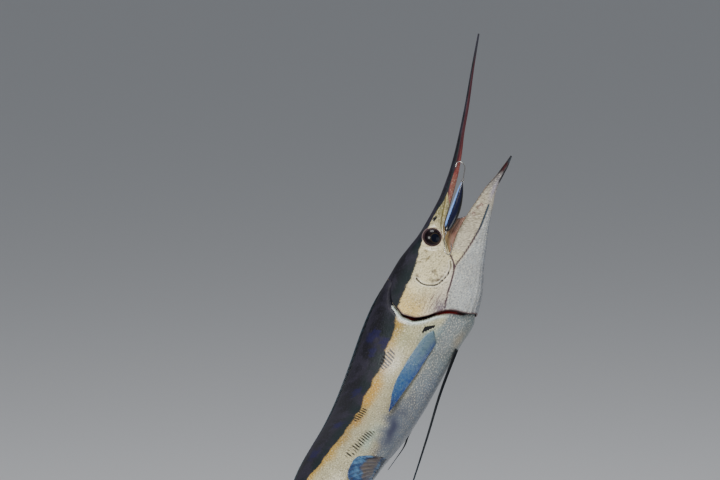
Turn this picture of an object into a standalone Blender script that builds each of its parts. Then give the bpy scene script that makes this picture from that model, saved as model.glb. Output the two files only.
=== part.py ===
# Shortbill spearfish leaping, mouth open, on a plain display stand.
# Metres, +Z up. The origin is the centre of the stand's underside, the fish's right side faces -Y.
# Fish coordinates: x runs back from the closed lower jaw's tip, y to the fish's right, z to its back,
# both from the middle plane and the eye's centre. body_point() carries them onto the bent body.
import math

import bmesh
import bpy
import numpy as np
from mathutils import Vector

# Gap between pieces that touch
GAP = 0.0003

# How the fish stands: degrees, and where the head's mark (see MARK_X) is over the base's centre
VIEW_DOWN = 8.0
LEAN = 21.0
TURN_AWAY = 15.0
MARK_PLACE = Vector((0.150, 0.420, 0.965))
SPINE_STEP = 0.005
SPINE_END = 1.80

# Landmarks along the fish. The mark is the point of the middle plane that sets the head's place
MARK_X = 0.205
NECK_X = 0.345
BILL_TIP = -0.228
BILL_BACK = 0.060
JAW_TIP = -0.009
MOUTH_BACK = 0.236
HEAD_BACK = 0.300
TAIL_ROOT = 1.460
FORK_X = 1.550

# Side bend and roll of the body, in degrees, by station
BEND = ((0.345, 0), (0.40, 6), (0.50, 22), (0.60, 38), (0.70, 49), (0.80, 53), (0.90, 49),
        (1.02, 36), (1.20, 14), (1.40, 4), (1.80, 2))
ROLL = ((0.345, 4), (0.45, 6), (0.60, 12), (0.75, 20), (0.88, 25), (1.10, 22), (1.40, 14), (1.80, 12))

# Outline by station, in metres: back, belly (or the underside that the mouth's cut would reach),
# the mouth's cut, half width, and how full the side is (1 is an ellipse, less is fuller)
BACK = ((-0.228, 0.0590), (-0.156, 0.0470), (-0.071, 0.0316), (-0.020, 0.0238), (0.031, 0.0172),
        (0.075, 0.0140), (0.114, 0.0136), (0.152, 0.0170), (0.190, 0.0225), (0.212, 0.0265),
        (0.243, 0.0360), (0.273, 0.0450), (0.312, 0.0518), (0.345, 0.0570), (0.42, 0.0600),
        (0.52, 0.0560), (0.63, 0.0500), (0.75, 0.0442), (0.84, 0.0408), (0.95, 0.0355), (1.05, 0.0275),
        (1.20, 0.0120), (1.33, -0.0060), (1.42, -0.0150), (1.47, -0.0170))
BELLY = ((-0.228, 0.0552), (-0.156, 0.0404), (-0.071, 0.0214), (-0.020, 0.0116), (0.031, -0.0005),
         (0.075, -0.0090), (0.114, -0.0220), (0.152, -0.0450), (0.190, -0.0810), (0.236, -0.1200),
         (0.26, -0.1280), (0.30, -0.1365), (0.345, -0.1385), (0.40, -0.1290), (0.46, -0.1210),
         (0.55, -0.1140), (0.65, -0.1100), (0.75, -0.1100), (0.84, -0.1115), (0.95, -0.1070),
         (1.05, -0.0940), (1.20, -0.0780), (1.33, -0.0630), (1.42, -0.0550), (1.47, -0.0530))
MOUTH_CUT = ((-0.228, 0.0556), (-0.156, 0.0412), (-0.071, 0.0224), (-0.020, 0.0130), (0.031, 0.0012),
             (0.075, -0.0060), (0.114, -0.0095), (0.152, -0.0125), (0.186, -0.0155), (0.210, -0.0280),
             (0.236, -0.0480), (0.252, -0.0610), (0.268, -0.0665), (0.30, -0.0700))
HALF_WIDTH = ((-0.228, 0.0018), (-0.156, 0.0037), (-0.071, 0.0063), (-0.020, 0.0080), (0.031, 0.0102),
              (0.075, 0.0135), (0.114, 0.0190), (0.152, 0.0260), (0.205, 0.0335), (0.25, 0.0380),
              (0.30, 0.0430), (0.345, 0.0460), (0.45, 0.0480), (0.60, 0.0460), (0.80, 0.0420),
              (1.00, 0.0350), (1.20, 0.0250), (1.35, 0.0160), (1.47, 0.0115))
FULLNESS = ((-0.228, 1.0), (0.06, 0.95), (0.15, 0.75), (0.21, 0.68), (0.30, 0.85), (0.40, 0.95),
            (0.60, 1.0), (1.47, 1.0))

# Lower jaw: rim, underside and half width by station
JAW_RIM = ((-0.009, -0.0895), (0.016, -0.0830), (0.041, -0.0765), (0.068, -0.0668), (0.107, -0.0580),
           (0.150, -0.0495), (0.193, -0.0450), (0.236, -0.0480))
JAW_UNDER = ((-0.009, -0.0926), (0.010, -0.0925), (0.031, -0.0904), (0.063, -0.0872), (0.084, -0.0886),
             (0.102, -0.0920), (0.150, -0.1000), (0.190, -0.1095), (0.236, -0.1200))
JAW_WIDTH = ((-0.009, 0.0014), (0.015, 0.0036), (0.039, 0.0058), (0.102, 0.0150), (0.150, 0.0220),
             (0.190, 0.0290), (0.236, 0.0366))
JAW_WALL = 0.0045
JAW_HOLLOW_START = 0.045
RIM_STEP = 0.0004

# Gill covers: rear edge by height, the angles where they lift off the back and where they reach round to,
# how far the flank sinks under them, and less so below, how soon it rises behind their edge, the gills'
# angles and ridges, and the covers' own thickness
COVER_EDGE = ((-0.139, 0.324), (-0.119, 0.335), (-0.088, 0.343), (-0.070, 0.355), (-0.050, 0.378),
              (-0.030, 0.390), (-0.010, 0.391), (0.006, 0.381), (0.022, 0.370), (0.034, 0.350),
              (0.044, 0.322))
COVER_TOP = (18.0, 30.0)
COVER_TURNS = (32.0, 179.3)
GILL_SINK = 0.0085
GILL_SINK_BELOW = 0.42
GILL_TURNS = (62.0, 152.0)
GILL_RIDGE = 0.0026
GILL_GROOVE = 0.0014
GILL_RISE_START = -0.004
GILL_RISE_LENGTH = 0.026
GILL_CLEARANCE = 0.0013
COVER_WALL = 0.0034
COVER_FLARE = 0.0042

# Eyes and nostrils
EYE_X = 0.2135
EYE_Z = -0.0020
EYE_OUT = 0.0228
EYE_RADIUS = 0.0205
EYE_DEPTH = 0.0138
SOCKET_ROOM = 0.0006
NOSTRIL_X = 0.174
NOSTRIL_Z = 0.0070
NOSTRIL_SIZE = (0.0055, 0.0030, 0.0016)

# Fishing lure on the right side of the mouth: its ends, radius and hooks, in fish coordinates
LURE_FRONT = Vector((0.084, 0.0270, -0.0185))
LURE_REAR = Vector((0.197, 0.0450, -0.0245))
LURE_RADIUS = 0.0103
LURE_FLATNESS = 0.72
LURE_SAG = 0.0040
LURE_SKEW = 1.50
LURE_BLUNTNESS = 0.40
HOOK_WIRE = 0.0008
HOOK_FRONT = ((0.0815, 0.0260, -0.0190), (0.0785, 0.0266, -0.0200), (0.0755, 0.0262, -0.0182),
              (0.0650, 0.0254, -0.0160), (0.0555, 0.0245, -0.0141), (0.0490, 0.0235, -0.0105),
              (0.0448, 0.0215, -0.0021), (0.0462, 0.0195, 0.0037), (0.0514, 0.0178, 0.0055),
              (0.0596, 0.0172, 0.0035))
HOOK_REAR = ((0.1995, 0.0455, -0.0250), (0.2030, 0.0465, -0.0262), (0.2068, 0.0465, -0.0252),
             (0.2155, 0.0470, -0.0271), (0.2265, 0.0475, -0.0310), (0.2356, 0.0475, -0.0352),
             (0.2400, 0.0475, -0.0399), (0.2399, 0.0475, -0.0464), (0.2302, 0.0475, -0.0477),
             (0.2221, 0.0470, -0.0444), (0.2143, 0.0465, -0.0403))

# Where the body is parted
TRUNK_JOINTS = (NECK_X, 0.56, 0.80, 1.06, TAIL_ROOT)
TRUNK_NAMES = ("trunk_front", "trunk_middle", "trunk_rear", "tail")
TRUNK_STEP = 0.028
COVERS_CLEAR = 0.425
RING_POINTS = 28
SIDE_POINTS = 11

# Two keels on each side of the tail's narrow end: where round the body, how wide, high and long
KEEL_ANGLES = (80.0, 100.0)
KEEL_SPREAD = 6.0
KEEL_HEIGHT = 0.0038
KEEL_START = 1.365

# First dorsal fin, folded down to a low crest: its height by station, and its three lengths
CREST = ((0.335, 0.0015), (0.37, 0.0042), (0.45, 0.0050), (0.70, 0.0045), (1.0, 0.0035), (1.13, 0.0015))
CREST_LEAN = 0.014
CREST_LENGTHS = (("dorsal_fin_front", 0.335, 0.60, 21), ("dorsal_fin_middle", 0.60, 0.86, 19),
                 ("dorsal_fin_rear", 0.86, 1.13, 19))

# Breast fin's two edges by share of its length, in degrees round the body from the back
PECTORAL_START = 0.402
PECTORAL_LENGTH = 0.315
PECTORAL_SKEW = 0.029
PECTORAL_LEAD = ((0.0, 124.5), (0.12, 123.0), (0.3, 121.5), (0.45, 120.0), (0.6, 119.0), (0.8, 119.5),
                 (1.0, 120.5))
PECTORAL_TRAIL = ((0.0, 112.5), (0.06, 107.0), (0.2, 103.5), (0.35, 101.5), (0.5, 101.5), (0.7, 106.0),
                  (0.85, 113.0), (1.0, 119.5))
PECTORAL_LIFT = 0.012

# Belly fins: two long thin blades. The left one lies along the belly at an angle by share of its length.
# The right one trails free of the bent body, along points given back, to the right and down from its root
PELVIC_START = 0.412
PELVIC_LENGTH = 0.450
PELVIC_TURN = ((0.0, 160.0), (0.3, 150.0), (0.5, 146.5), (0.6, 152.0), (0.7, 157.0), (1.0, 160.0))
PELVIC_LIFT = 0.009
PELVIC_ROOT_TURN = 165.0
PELVIC_TILT = 30.0
PELVIC_TRAIL = ((0.0, 0.0, 0.0), (0.10, 0.0090, 0.0010), (0.20, 0.0380, 0.0090), (0.30, 0.0890, 0.0165),
                (0.42, 0.1580, 0.0245))
PELVIC_HALF_WIDTH = 0.0030

# Skin web at each corner of the mouth: stations where it starts on the head and on the jaw's rim
WEB_UPPER = 0.165
WEB_LOWER = 0.145
WEB_BOW = 0.004
WEB_THICK = 0.0012
WEB_GAP = 0.0014

# First anal fin, laid over on the right flank: its base, and its outer edge by share of the base
ANAL_START = 0.866
ANAL_BASE = 0.135
ANAL_ROOT_ANGLE = 177.0
ANAL_EDGE_X = ((0.0, 0.931), (0.08, 0.933), (0.16, 0.953), (0.28, 0.978), (0.42, 0.998), (0.65, 1.010),
               (1.0, 1.020))
ANAL_EDGE_ANGLE = ((0.0, 137.0), (0.08, 125.0), (0.16, 120.5), (0.28, 121.0), (0.42, 127.0), (0.65, 150.0),
                   (1.0, 170.0))
ANAL_LIFT = 0.008

# Second dorsal and second anal fin: where their bases start, and their size
SECOND_DORSAL_X = 1.235
SECOND_ANAL_X = 1.215
SECOND_BASE = 0.065
SECOND_SWEEP = 0.027
SECOND_EDGE = 0.105
SECOND_HEIGHT = 0.034
SECOND_REAR_HEIGHT = 0.006

# Tail fin: how far its lobes reach behind the fork and from the middle line
LOBE_BACK = 0.112
LOBE_REACH = 0.232

# Fins' half thickness at their base, and the gap under those that lie on the skin
CREST_THICK = 0.0022
SECOND_THICK = 0.0016
TAIL_FIN_THICK = 0.0042
PECTORAL_THICK = 0.0022
PELVIC_THICK = 0.0016
ANAL_THICK = 0.0018
FIN_GAP = 0.0006

# Stand
BASE_LENGTH = 0.76
BASE_WIDTH = 0.46
BASE_THICK = 0.018
BASE_CORNER = 0.06
ROD_RADIUS = 0.011
ROD_STATIONS = (0.80, 1.20)
ROD_SINK = 0.022
ROD_NAMES = ("stand_rod_front", "stand_rod_rear")


def smooth_line(points):
    """A smooth curve through a few points that never overshoots them."""
    xs = np.array([p[0] for p in points], dtype=float)
    ys = np.array([p[1] for p in points], dtype=float)
    steps = np.diff(xs)
    slopes = np.diff(ys) / steps
    turns = np.zeros(len(xs))
    turns[0] = slopes[0]
    turns[-1] = slopes[-1]
    for i in range(1, len(xs) - 1):
        if slopes[i - 1] * slopes[i] > 0.0:
            before = 2.0 * steps[i] + steps[i - 1]
            after = steps[i] + 2.0 * steps[i - 1]
            turns[i] = (before + after) / (before / slopes[i - 1] + after / slopes[i])

    def value(x):
        x = min(max(x, xs[0]), xs[-1])
        i = int(np.clip(np.searchsorted(xs, x, side="right") - 1, 0, len(xs) - 2))
        t = (x - xs[i]) / steps[i]
        return ((1 + 2 * t) * (1 - t) ** 2 * ys[i] + t * (1 - t) ** 2 * steps[i] * turns[i]
                + t * t * (3 - 2 * t) * ys[i + 1] + t * t * (t - 1) * steps[i] * turns[i + 1])

    return value


back_line = smooth_line(BACK)
belly_line = smooth_line(BELLY)
cut_line = smooth_line(MOUTH_CUT)
width_line = smooth_line(HALF_WIDTH)
fullness_line = smooth_line(FULLNESS)
jaw_rim = smooth_line(JAW_RIM)
jaw_under = smooth_line(JAW_UNDER)
jaw_width = smooth_line(JAW_WIDTH)
cover_edge = smooth_line(COVER_EDGE)


def ease(t):
    """0 to 1, level at both ends."""
    t = min(max(t, 0.0), 1.0)
    return t * t * (3.0 - 2.0 * t)


def turned(a, b, angle):
    """Two unit vectors turned together in their own plane."""
    return a * math.cos(angle) - b * math.sin(angle), b * math.cos(angle) + a * math.sin(angle)


def make_spine():
    """Points and frames (forward, right, back) along the bent body."""
    down = math.radians(VIEW_DOWN)
    lean = math.radians(LEAN)
    away = math.radians(TURN_AWAY)
    across = Vector((1.0, 0.0, 0.0))
    into = Vector((0.0, math.cos(down), -math.sin(down)))
    up = Vector((0.0, math.sin(down), math.cos(down)))
    forward = (across * math.sin(lean) + up * math.cos(lean)) * math.cos(away) + into * math.sin(away)
    dorsal = up * math.sin(lean) - across * math.cos(lean)
    right = forward.cross(dorsal)
    bend = smooth_line(BEND)
    roll = smooth_line(ROLL)
    dorsal, right = turned(dorsal, right, math.radians(roll(NECK_X)))
    point = MARK_PLACE - forward * (NECK_X - MARK_X)
    spine = [(point, forward, right, dorsal)]
    for i in range(round((SPINE_END - NECK_X) / SPINE_STEP)):
        x = NECK_X + i * SPINE_STEP
        side = math.radians(bend(x + SPINE_STEP) - bend(x))
        twist = math.radians(roll(x + SPINE_STEP) - roll(x))
        forward, right = turned(forward, right, side)
        dorsal, right = turned(dorsal, right, twist)
        point = point - forward * SPINE_STEP
        spine.append((point, forward, right, dorsal))
    return spine


SPINE = make_spine()


def body_point(x, y, z):
    """A point of the straight fish carried onto the bent one."""
    place = (x - NECK_X) / SPINE_STEP
    if place <= 0.0:
        point, forward, right, dorsal = SPINE[0]
        return point - forward * (x - NECK_X) + right * y + dorsal * z
    i = min(int(place), len(SPINE) - 2)
    t = place - i
    here = SPINE[i]
    there = SPINE[i + 1]
    point = here[0].lerp(there[0], t)
    right = here[2].lerp(there[2], t)
    dorsal = here[3].lerp(there[3], t)
    return point + right * y + dorsal * z


def gill_sink(x, angle):
    """How far the flank sinks to leave room for the gills under their covers."""
    edge = cover_edge(skin(NECK_X, angle)[2])
    along = 1.0 - ease((x - edge - GILL_RISE_START) / GILL_RISE_LENGTH)
    if x < HEAD_BACK:
        along = 0.0
    turn = math.degrees(abs(angle))
    around = ease((turn - COVER_TOP[0]) / (COVER_TOP[1] - COVER_TOP[0]))
    under = 1.0 - GILL_SINK_BELOW * ease((turn - 150.0) / 30.0)
    return GILL_SINK * along * around * under


def skin(x, angle, off=0.0):
    """The body's surface at a station; angle 0 is the back, positive runs down the right side."""
    top = back_line(x)
    bottom = belly_line(x)
    half = 0.5 * (top - bottom)
    width = width_line(x)
    side = math.sin(angle)
    y = width * math.copysign(abs(side) ** fullness_line(x), side)
    z = 0.5 * (top + bottom) + half * math.cos(angle)
    out_y = half * math.sin(angle)
    out_z = width * math.cos(angle)
    size = math.hypot(out_y, out_z)
    return x, y + off * out_y / size, z + off * out_z / size


def stations(start, end, count):
    """Evenly spaced stations, both ends included."""
    return [start + (end - start) * i / (count - 1) for i in range(count)]


def make_material(name, colour, roughness, metallic=0.0):
    material = bpy.data.materials.new(name)
    material.use_nodes = True
    shader = material.node_tree.nodes["Principled BSDF"]
    shader.inputs["Base Color"].default_value = (*colour, 1.0)
    shader.inputs["Roughness"].default_value = roughness
    shader.inputs["Metallic"].default_value = metallic
    return material


def make_object(name, points, faces, collection, material=None):
    """A mesh object from world points and faces, with its faces turned outward."""
    mesh = bpy.data.meshes.new(name)
    mesh.from_pydata([tuple(p) for p in points], [], faces)
    shape = bmesh.new()
    shape.from_mesh(mesh)
    bmesh.ops.recalc_face_normals(shape, faces=shape.faces)
    bmesh.ops.triangulate(shape, faces=[f for f in shape.faces if len(f.verts) > 4])
    shape.to_mesh(mesh)
    shape.free()
    mesh.shade_smooth()
    mesh.set_sharp_from_angle(angle=math.radians(50))
    if material:
        mesh.materials.append(material)
    shape_object = bpy.data.objects.new(name, mesh)
    collection.objects.link(shape_object)
    return shape_object


def loft(name, rings, collection, material=None):
    """A closed body through rings of equally many fish-coordinate points."""
    count = len(rings[0])
    points = [body_point(*p) for ring in rings for p in ring]
    faces = []
    for i in range(len(rings) - 1):
        for k in range(count):
            a = i * count + k
            b = i * count + (k + 1) % count
            faces.append((a, b, b + count))
            faces.append((a, b + count, a + count))
    faces.append(tuple(range(count)))
    faces.append(tuple(range((len(rings) - 1) * count, len(rings) * count)))
    return make_object(name, points, faces, collection, material)


def sheet(name, grid, collection, material=None):
    """A closed thin body from a grid of (one face's point, other face's point) pairs in world space."""
    rows = len(grid)
    columns = len(grid[0])
    total = rows * columns
    points = [pair[0] for row in grid for pair in row] + [pair[1] for row in grid for pair in row]
    faces = []
    for i in range(rows - 1):
        for k in range(columns - 1):
            a = i * columns + k
            b = a + 1
            c = b + columns
            d = a + columns
            faces += [(a, b, c), (a, c, d)]
            faces += [(c + total, b + total, a + total), (d + total, c + total, a + total)]
    rim = list(range(columns))
    rim += [i * columns + columns - 1 for i in range(1, rows)]
    rim += [(rows - 1) * columns + k for k in range(columns - 2, -1, -1)]
    rim += [i * columns for i in range(rows - 2, 0, -1)]
    for a, b in zip(rim, rim[1:] + rim[:1]):
        faces += [(a, a + total, b + total), (a, b + total, b)]
    return make_object(name, points, faces, collection, material)


def cut_away(target, cutter):
    """Take one shape out of another."""
    cutter.hide_render = True
    cutter.display_type = "WIRE"
    step = target.modifiers.new("cut_" + cutter.name, "BOOLEAN")
    step.operation = "DIFFERENCE"
    step.object = cutter
    step.solver = "EXACT"


def upper_ring(x):
    """The head or bill above the mouth's cut: down the right side, across below, up the left side."""
    top = back_line(x)
    bottom = belly_line(x)
    middle = 0.5 * (top + bottom)
    cosine = (cut_line(x) - middle) / (0.5 * (top - bottom))
    last = math.acos(min(max(cosine, -0.985), 0.985))
    ring = [skin(x, last * i / SIDE_POINTS) for i in range(SIDE_POINTS + 1)]
    corner = ring[-1]
    for t in (0.5, 0.0, -0.5):
        ring.append((x, corner[1] * t, corner[2]))
    ring += [skin(x, -last * i / SIDE_POINTS) for i in range(SIDE_POINTS, 0, -1)]
    return ring


def throat_ring(x):
    """The throat below the mouth's cut."""
    top = back_line(x)
    bottom = belly_line(x)
    middle = 0.5 * (top + bottom)
    cosine = (cut_line(x) - GAP - middle) / (0.5 * (top - bottom))
    first = math.acos(min(max(cosine, -0.985), 0.985))
    around = 16
    ring = [skin(x, first + (2 * math.pi - 2 * first) * i / around) for i in range(around + 1)]
    corner = ring[-1]
    for t in (0.5, 0.0, -0.5):
        ring.append((x, corner[1] * t, corner[2]))
    return ring


def jaw_ring(x):
    """The lower jaw's trough: the outside from rim to rim, then the inside back."""
    rim = jaw_rim(x)
    depth = rim - jaw_under(x)
    width = jaw_width(x)
    full = 1.0 - (1.0 - fullness_line(MOUTH_BACK)) * ease((x - JAW_TIP) / (MOUTH_BACK - JAW_TIP))
    open_share = ease((x - JAW_HOLLOW_START) / 0.05)
    wall = min(JAW_WALL, 0.45 * width)
    inner_width = width - wall
    inner_depth = max(depth - 2.0 * wall, 0.1 * depth) * open_share
    around = 12
    ring = []
    for i in range(around + 1):
        ring.append(trough_point(x, width, rim, depth, full, i / around))
    for i in range(around + 1):
        ring.append(trough_point(x, inner_width, rim - RIM_STEP, inner_depth, full, 1.0 - i / around))
    return ring


def trough_point(x, width, rim, depth, full, share):
    """A point of a half oval that hangs from its rim, from the right edge to the left."""
    angle = math.pi * share
    side = math.cos(angle)
    return x, width * math.copysign(abs(side) ** full, side), rim - depth * math.sin(angle)


def keel(x, angle):
    """How far a keel stands out of the tail's side."""
    degrees = math.degrees(abs(angle))
    nearest = min(abs(degrees - place) for place in KEEL_ANGLES)
    along = ease((x - KEEL_START) / (TAIL_ROOT - KEEL_START))
    return KEEL_HEIGHT * along * max(0.0, 1.0 - nearest / KEEL_SPREAD)


def body_ring(x, off=0.0, keeled=False):
    """The whole body at a station."""
    turns = [-180.0 + 360.0 * i / RING_POINTS for i in range(RING_POINTS)]
    if keeled:
        near = [place + step for place in KEEL_ANGLES for step in (-KEEL_SPREAD, 0.0, KEEL_SPREAD)]
        turns = [t for t in turns if not min(near) - 3.0 < abs(t) < max(near) + 3.0]
        turns = sorted(turns + near + [-t for t in near])
    ring = []
    for turn in turns:
        angle = math.radians(turn)
        ring.append(skin(x, angle, off + keel(x, angle) - gill_sink(x, angle)))
    return ring


def ridged(half_thick, column, share):
    """Half the thickness of a fin: a ray on every other column, membrane between, thinner outward."""
    if column % 2 == 0:
        return half_thick * (1.0 - 0.75 * share)
    return half_thick * (0.55 - 0.35 * share)


def middle_fin(name, base, tips, half_thick, rows, collection, material):
    """A fin in the middle plane: rays from base to tip points, both (x, z) in fish coordinates."""
    grid = []
    for j in range(rows):
        share = j / (rows - 1)
        row = []
        for i, (root, tip) in enumerate(zip(base, tips)):
            x = root[0] + (tip[0] - root[0]) * share
            z = root[1] + (tip[1] - root[1]) * share
            half = ridged(half_thick, i, share)
            row.append((body_point(x, half, z), body_point(x, -half, z)))
        grid.append(row)
    return sheet(name, grid, collection, material)


def build_head(fish, cutters, paint):
    loft("bill", [upper_ring(x) for x in stations(BILL_TIP, BILL_BACK - GAP, 12)], fish, paint["bill"])
    cheek = stations(MOUTH_BACK, HEAD_BACK, 7)
    snout = stations(BILL_BACK, MOUTH_BACK, 12)
    head = loft("head", [upper_ring(x) for x in snout + cheek[1:]], fish, paint["skin"])
    loft("lower_jaw", [jaw_ring(x) for x in stations(JAW_TIP, MOUTH_BACK - GAP, 14)], fish,
         paint["skin"])
    loft("throat", [throat_ring(x) for x in cheek], fish, paint["skin"])
    loft("nape", [body_ring(x) for x in stations(HEAD_BACK + GAP, NECK_X, 5)], fish, paint["skin"])
    centre = (EYE_X, EYE_OUT, EYE_Z)
    socket_size = (EYE_RADIUS + SOCKET_ROOM, EYE_DEPTH + SOCKET_ROOM, EYE_RADIUS + SOCKET_ROOM)
    for side, name in ((1, "right"), (-1, "left")):
        cut_away(head, ball("socket_" + name, side, centre, socket_size, (20, 12), cutters))
        nostril = flank_at(NOSTRIL_X, NOSTRIL_Z)
        cut_away(head, ball("nostril_" + name, side, nostril, NOSTRIL_SIZE, (10, 6), cutters))
        ball("eye_" + name, side, centre, (EYE_RADIUS, EYE_DEPTH, EYE_RADIUS), (20, 12), fish, paint["eye"])


def ball(name, side, centre, size, detail, collection, material=None):
    """A squashed ball with its poles out to the side, at a place given for the right side."""
    shape = bmesh.new()
    bmesh.ops.create_uvsphere(shape, u_segments=detail[0], v_segments=detail[1], radius=1.0)
    for v in shape.verts:
        x = centre[0] + size[0] * v.co.x
        y = side * (centre[1] + size[1] * v.co.z)
        z = centre[2] - size[2] * v.co.y
        v.co = body_point(x, y, z)
    if side < 0:
        bmesh.ops.reverse_faces(shape, faces=shape.faces)
    mesh = bpy.data.meshes.new(name)
    shape.to_mesh(mesh)
    shape.free()
    mesh.shade_smooth()
    if material:
        mesh.materials.append(material)
    thing = bpy.data.objects.new(name, mesh)
    collection.objects.link(thing)
    return thing


def flank_at(x, z):
    """The right flank's point at a station and a height."""
    top = back_line(x)
    bottom = belly_line(x)
    return skin(x, math.acos((2.0 * z - top - bottom) / (top - bottom)))


def build_webs(fish, paint):
    """The skin stretched between the jaws just ahead of each corner of the mouth."""
    back = MOUTH_BACK - 0.006
    for side, name in ((1, "right"), (-1, "left")):
        grid = []
        for i in range(6):
            t = i / 5
            upper_x = WEB_UPPER + (back - WEB_UPPER) * t
            lower_x = WEB_LOWER + (back - WEB_LOWER) * t
            corner = upper_ring(upper_x)[SIDE_POINTS]
            upper = (upper_x, corner[1] - JAW_WALL, cut_line(upper_x) - WEB_GAP)
            lower = (lower_x, jaw_width(lower_x) - 0.5 * JAW_WALL, jaw_rim(lower_x) + WEB_GAP)
            row = []
            for share in stations(0.0, 1.0, 5):
                bow = WEB_BOW * (1 - t) * math.sin(math.pi * share)
                x = upper[0] + (lower[0] - upper[0]) * share + bow
                y = upper[1] + (lower[1] - upper[1]) * share - 0.4 * bow
                z = upper[2] + (lower[2] - upper[2]) * share
                row.append((body_point(x, side * (y + 0.5 * WEB_THICK), z),
                            body_point(x, side * (y - 0.5 * WEB_THICK), z)))
            grid.append(row)
        sheet("mouth_web_" + name, grid, fish, paint["skin"])


def build_covers(fish, paint):
    """Gill covers: thin shells that stand off the sunk flank, open behind."""
    for side, name in ((1, "right"), (-1, "left")):
        grid = []
        for i in range(15):
            angle = math.radians(COVER_TURNS[0] + (COVER_TURNS[1] - COVER_TURNS[0]) * i / 14)
            height = skin(NECK_X, angle)[2]
            last = cover_edge(height)
            row = []
            for x in stations(HEAD_BACK + GAP, last, 6):
                flare = COVER_FLARE * ease((x - HEAD_BACK) / 0.07)
                outer = skin(x, side * angle, flare)
                inner = skin(x, side * angle, flare - COVER_WALL)
                row.append((body_point(*outer), body_point(*inner)))
            grid.append(row)
        sheet("gill_cover_" + name, grid, fish, paint["skin"])


def build_gills(fish, paint):
    """Gill filaments: a ridged crescent lying on the sunk flank under each cover."""
    for side, name in ((1, "right"), (-1, "left")):
        grid = []
        for i in range(25):
            angle = math.radians(GILL_TURNS[0] + (GILL_TURNS[1] - GILL_TURNS[0]) * i / 24)
            last = min(NECK_X - 0.001, cover_edge(skin(NECK_X, angle)[2]) - 0.002)
            row = []
            for x in stations(HEAD_BACK + 0.006, last, 3):
                bed = -gill_sink(x, angle) + GILL_CLEARANCE
                top = bed + (GILL_RIDGE if i % 2 == 0 else GILL_GROOVE)
                row.append((body_point(*skin(x, side * angle, top)), body_point(*skin(x, side * angle, bed))))
            grid.append(row)
        sheet("gills_" + name, grid, fish, paint["gill"])


def build_trunk(fish, paint):
    for name, start, end in zip(TRUNK_NAMES, TRUNK_JOINTS, TRUNK_JOINTS[1:]):
        count = round((end - start) / TRUNK_STEP) + 1
        places = stations(start + GAP, end, count)
        if start == NECK_X:
            places = stations(NECK_X + GAP, COVERS_CLEAR, 9) + stations(COVERS_CLEAR, end, 6)[1:]
        rings = [body_ring(x, 0.0, name == TRUNK_NAMES[-1]) for x in places]
        loft(name, rings, fish, paint["skin"])


def build_middle_fins(fish, paint):
    rise = GAP + 0.0002
    crest = smooth_line(CREST)
    for name, start, end, count in CREST_LENGTHS:
        xs = stations(start + GAP, end - GAP, count)
        base = [(x, back_line(x) + rise) for x in xs]
        tips = [(x + CREST_LEAN, back_line(x + CREST_LEAN) + crest(x)) for x in xs]
        middle_fin(name, base, tips, CREST_THICK, 3, fish, paint["fin"])
    for name, start, outline, side in (("dorsal_fin_second", SECOND_DORSAL_X, back_line, 1),
                                       ("anal_fin_second", SECOND_ANAL_X, belly_line, -1)):
        base = []
        tips = []
        for t in stations(0.0, 1.0, 9):
            x = start + SECOND_BASE * t
            base.append((x, outline(x) + side * rise))
            x = start + SECOND_SWEEP + SECOND_EDGE * t
            tips.append((x, outline(x) + side * (SECOND_HEIGHT * (1 - t) ** 1.3 + SECOND_REAR_HEIGHT)))
        middle_fin(name, base, tips, SECOND_THICK, 4, fish, paint["fin"])


def build_tail_fin(fish, paint):
    """Two swept lobes, each its own piece, that meet on the middle line with a small gap."""
    root_x = TAIL_ROOT + 2 * GAP
    middle = 0.5 * (back_line(TAIL_ROOT) + belly_line(TAIL_ROOT))
    half = 0.5 * (back_line(TAIL_ROOT) - belly_line(TAIL_ROOT))
    for side, name in ((1, "upper"), (-1, "lower")):
        grid = []
        rows = 8
        count = 17
        for j in range(rows):
            share = j / (rows - 1)
            row = []
            for i in range(count):
                t = i / (count - 1)
                root_z = half * (1.0 - t)
                tip_x = FORK_X + LOBE_BACK * (1 - t) ** 1.25
                tip_z = LOBE_REACH * (1 - t) ** 1.1
                sweep = share ** (1.0 + 0.45 * (1 - t))
                x = root_x + (tip_x - root_x) * share
                z = root_z + (tip_z - root_z) * sweep
                z = middle + side * (GAP + z)
                thick = ridged(TAIL_FIN_THICK * (1 - 0.55 * t * share), i, share * 0.9)
                row.append((body_point(x, thick, z), body_point(x, -thick, z)))
            grid.append(row)
        sheet("tail_fin_" + name, grid, fish, paint["fin"])


def laid_pair(x, angle, lift, thick):
    """The outer and inner point of a fin that lies on the skin."""
    return body_point(*skin(x, angle, lift + thick)), body_point(*skin(x, angle, lift))


def build_breast_fins(fish, paint):
    lead = smooth_line(PECTORAL_LEAD)
    trail = smooth_line(PECTORAL_TRAIL)
    for side, name in ((1, "right"), (-1, "left")):
        grid = []
        for share in stations(0.0, 1.0, 12):
            lift = FIN_GAP + PECTORAL_LIFT * share ** 1.3
            row = []
            for i in range(13):
                across = i / 12
                x = PECTORAL_START + PECTORAL_LENGTH * share + PECTORAL_SKEW * across * (1 - share)
                angle = math.radians(trail(share) + (lead(share) - trail(share)) * across)
                thick = 2.0 * ridged(PECTORAL_THICK, i, share)
                row.append(laid_pair(x, side * angle, lift - gill_sink(x, angle), thick))
            grid.append(row)
        sheet("pectoral_fin_" + name, grid, fish, paint["fin"])


def pelvic_width(share):
    return PELVIC_HALF_WIDTH * (1 - share) ** 0.7 + 0.0007


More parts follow.
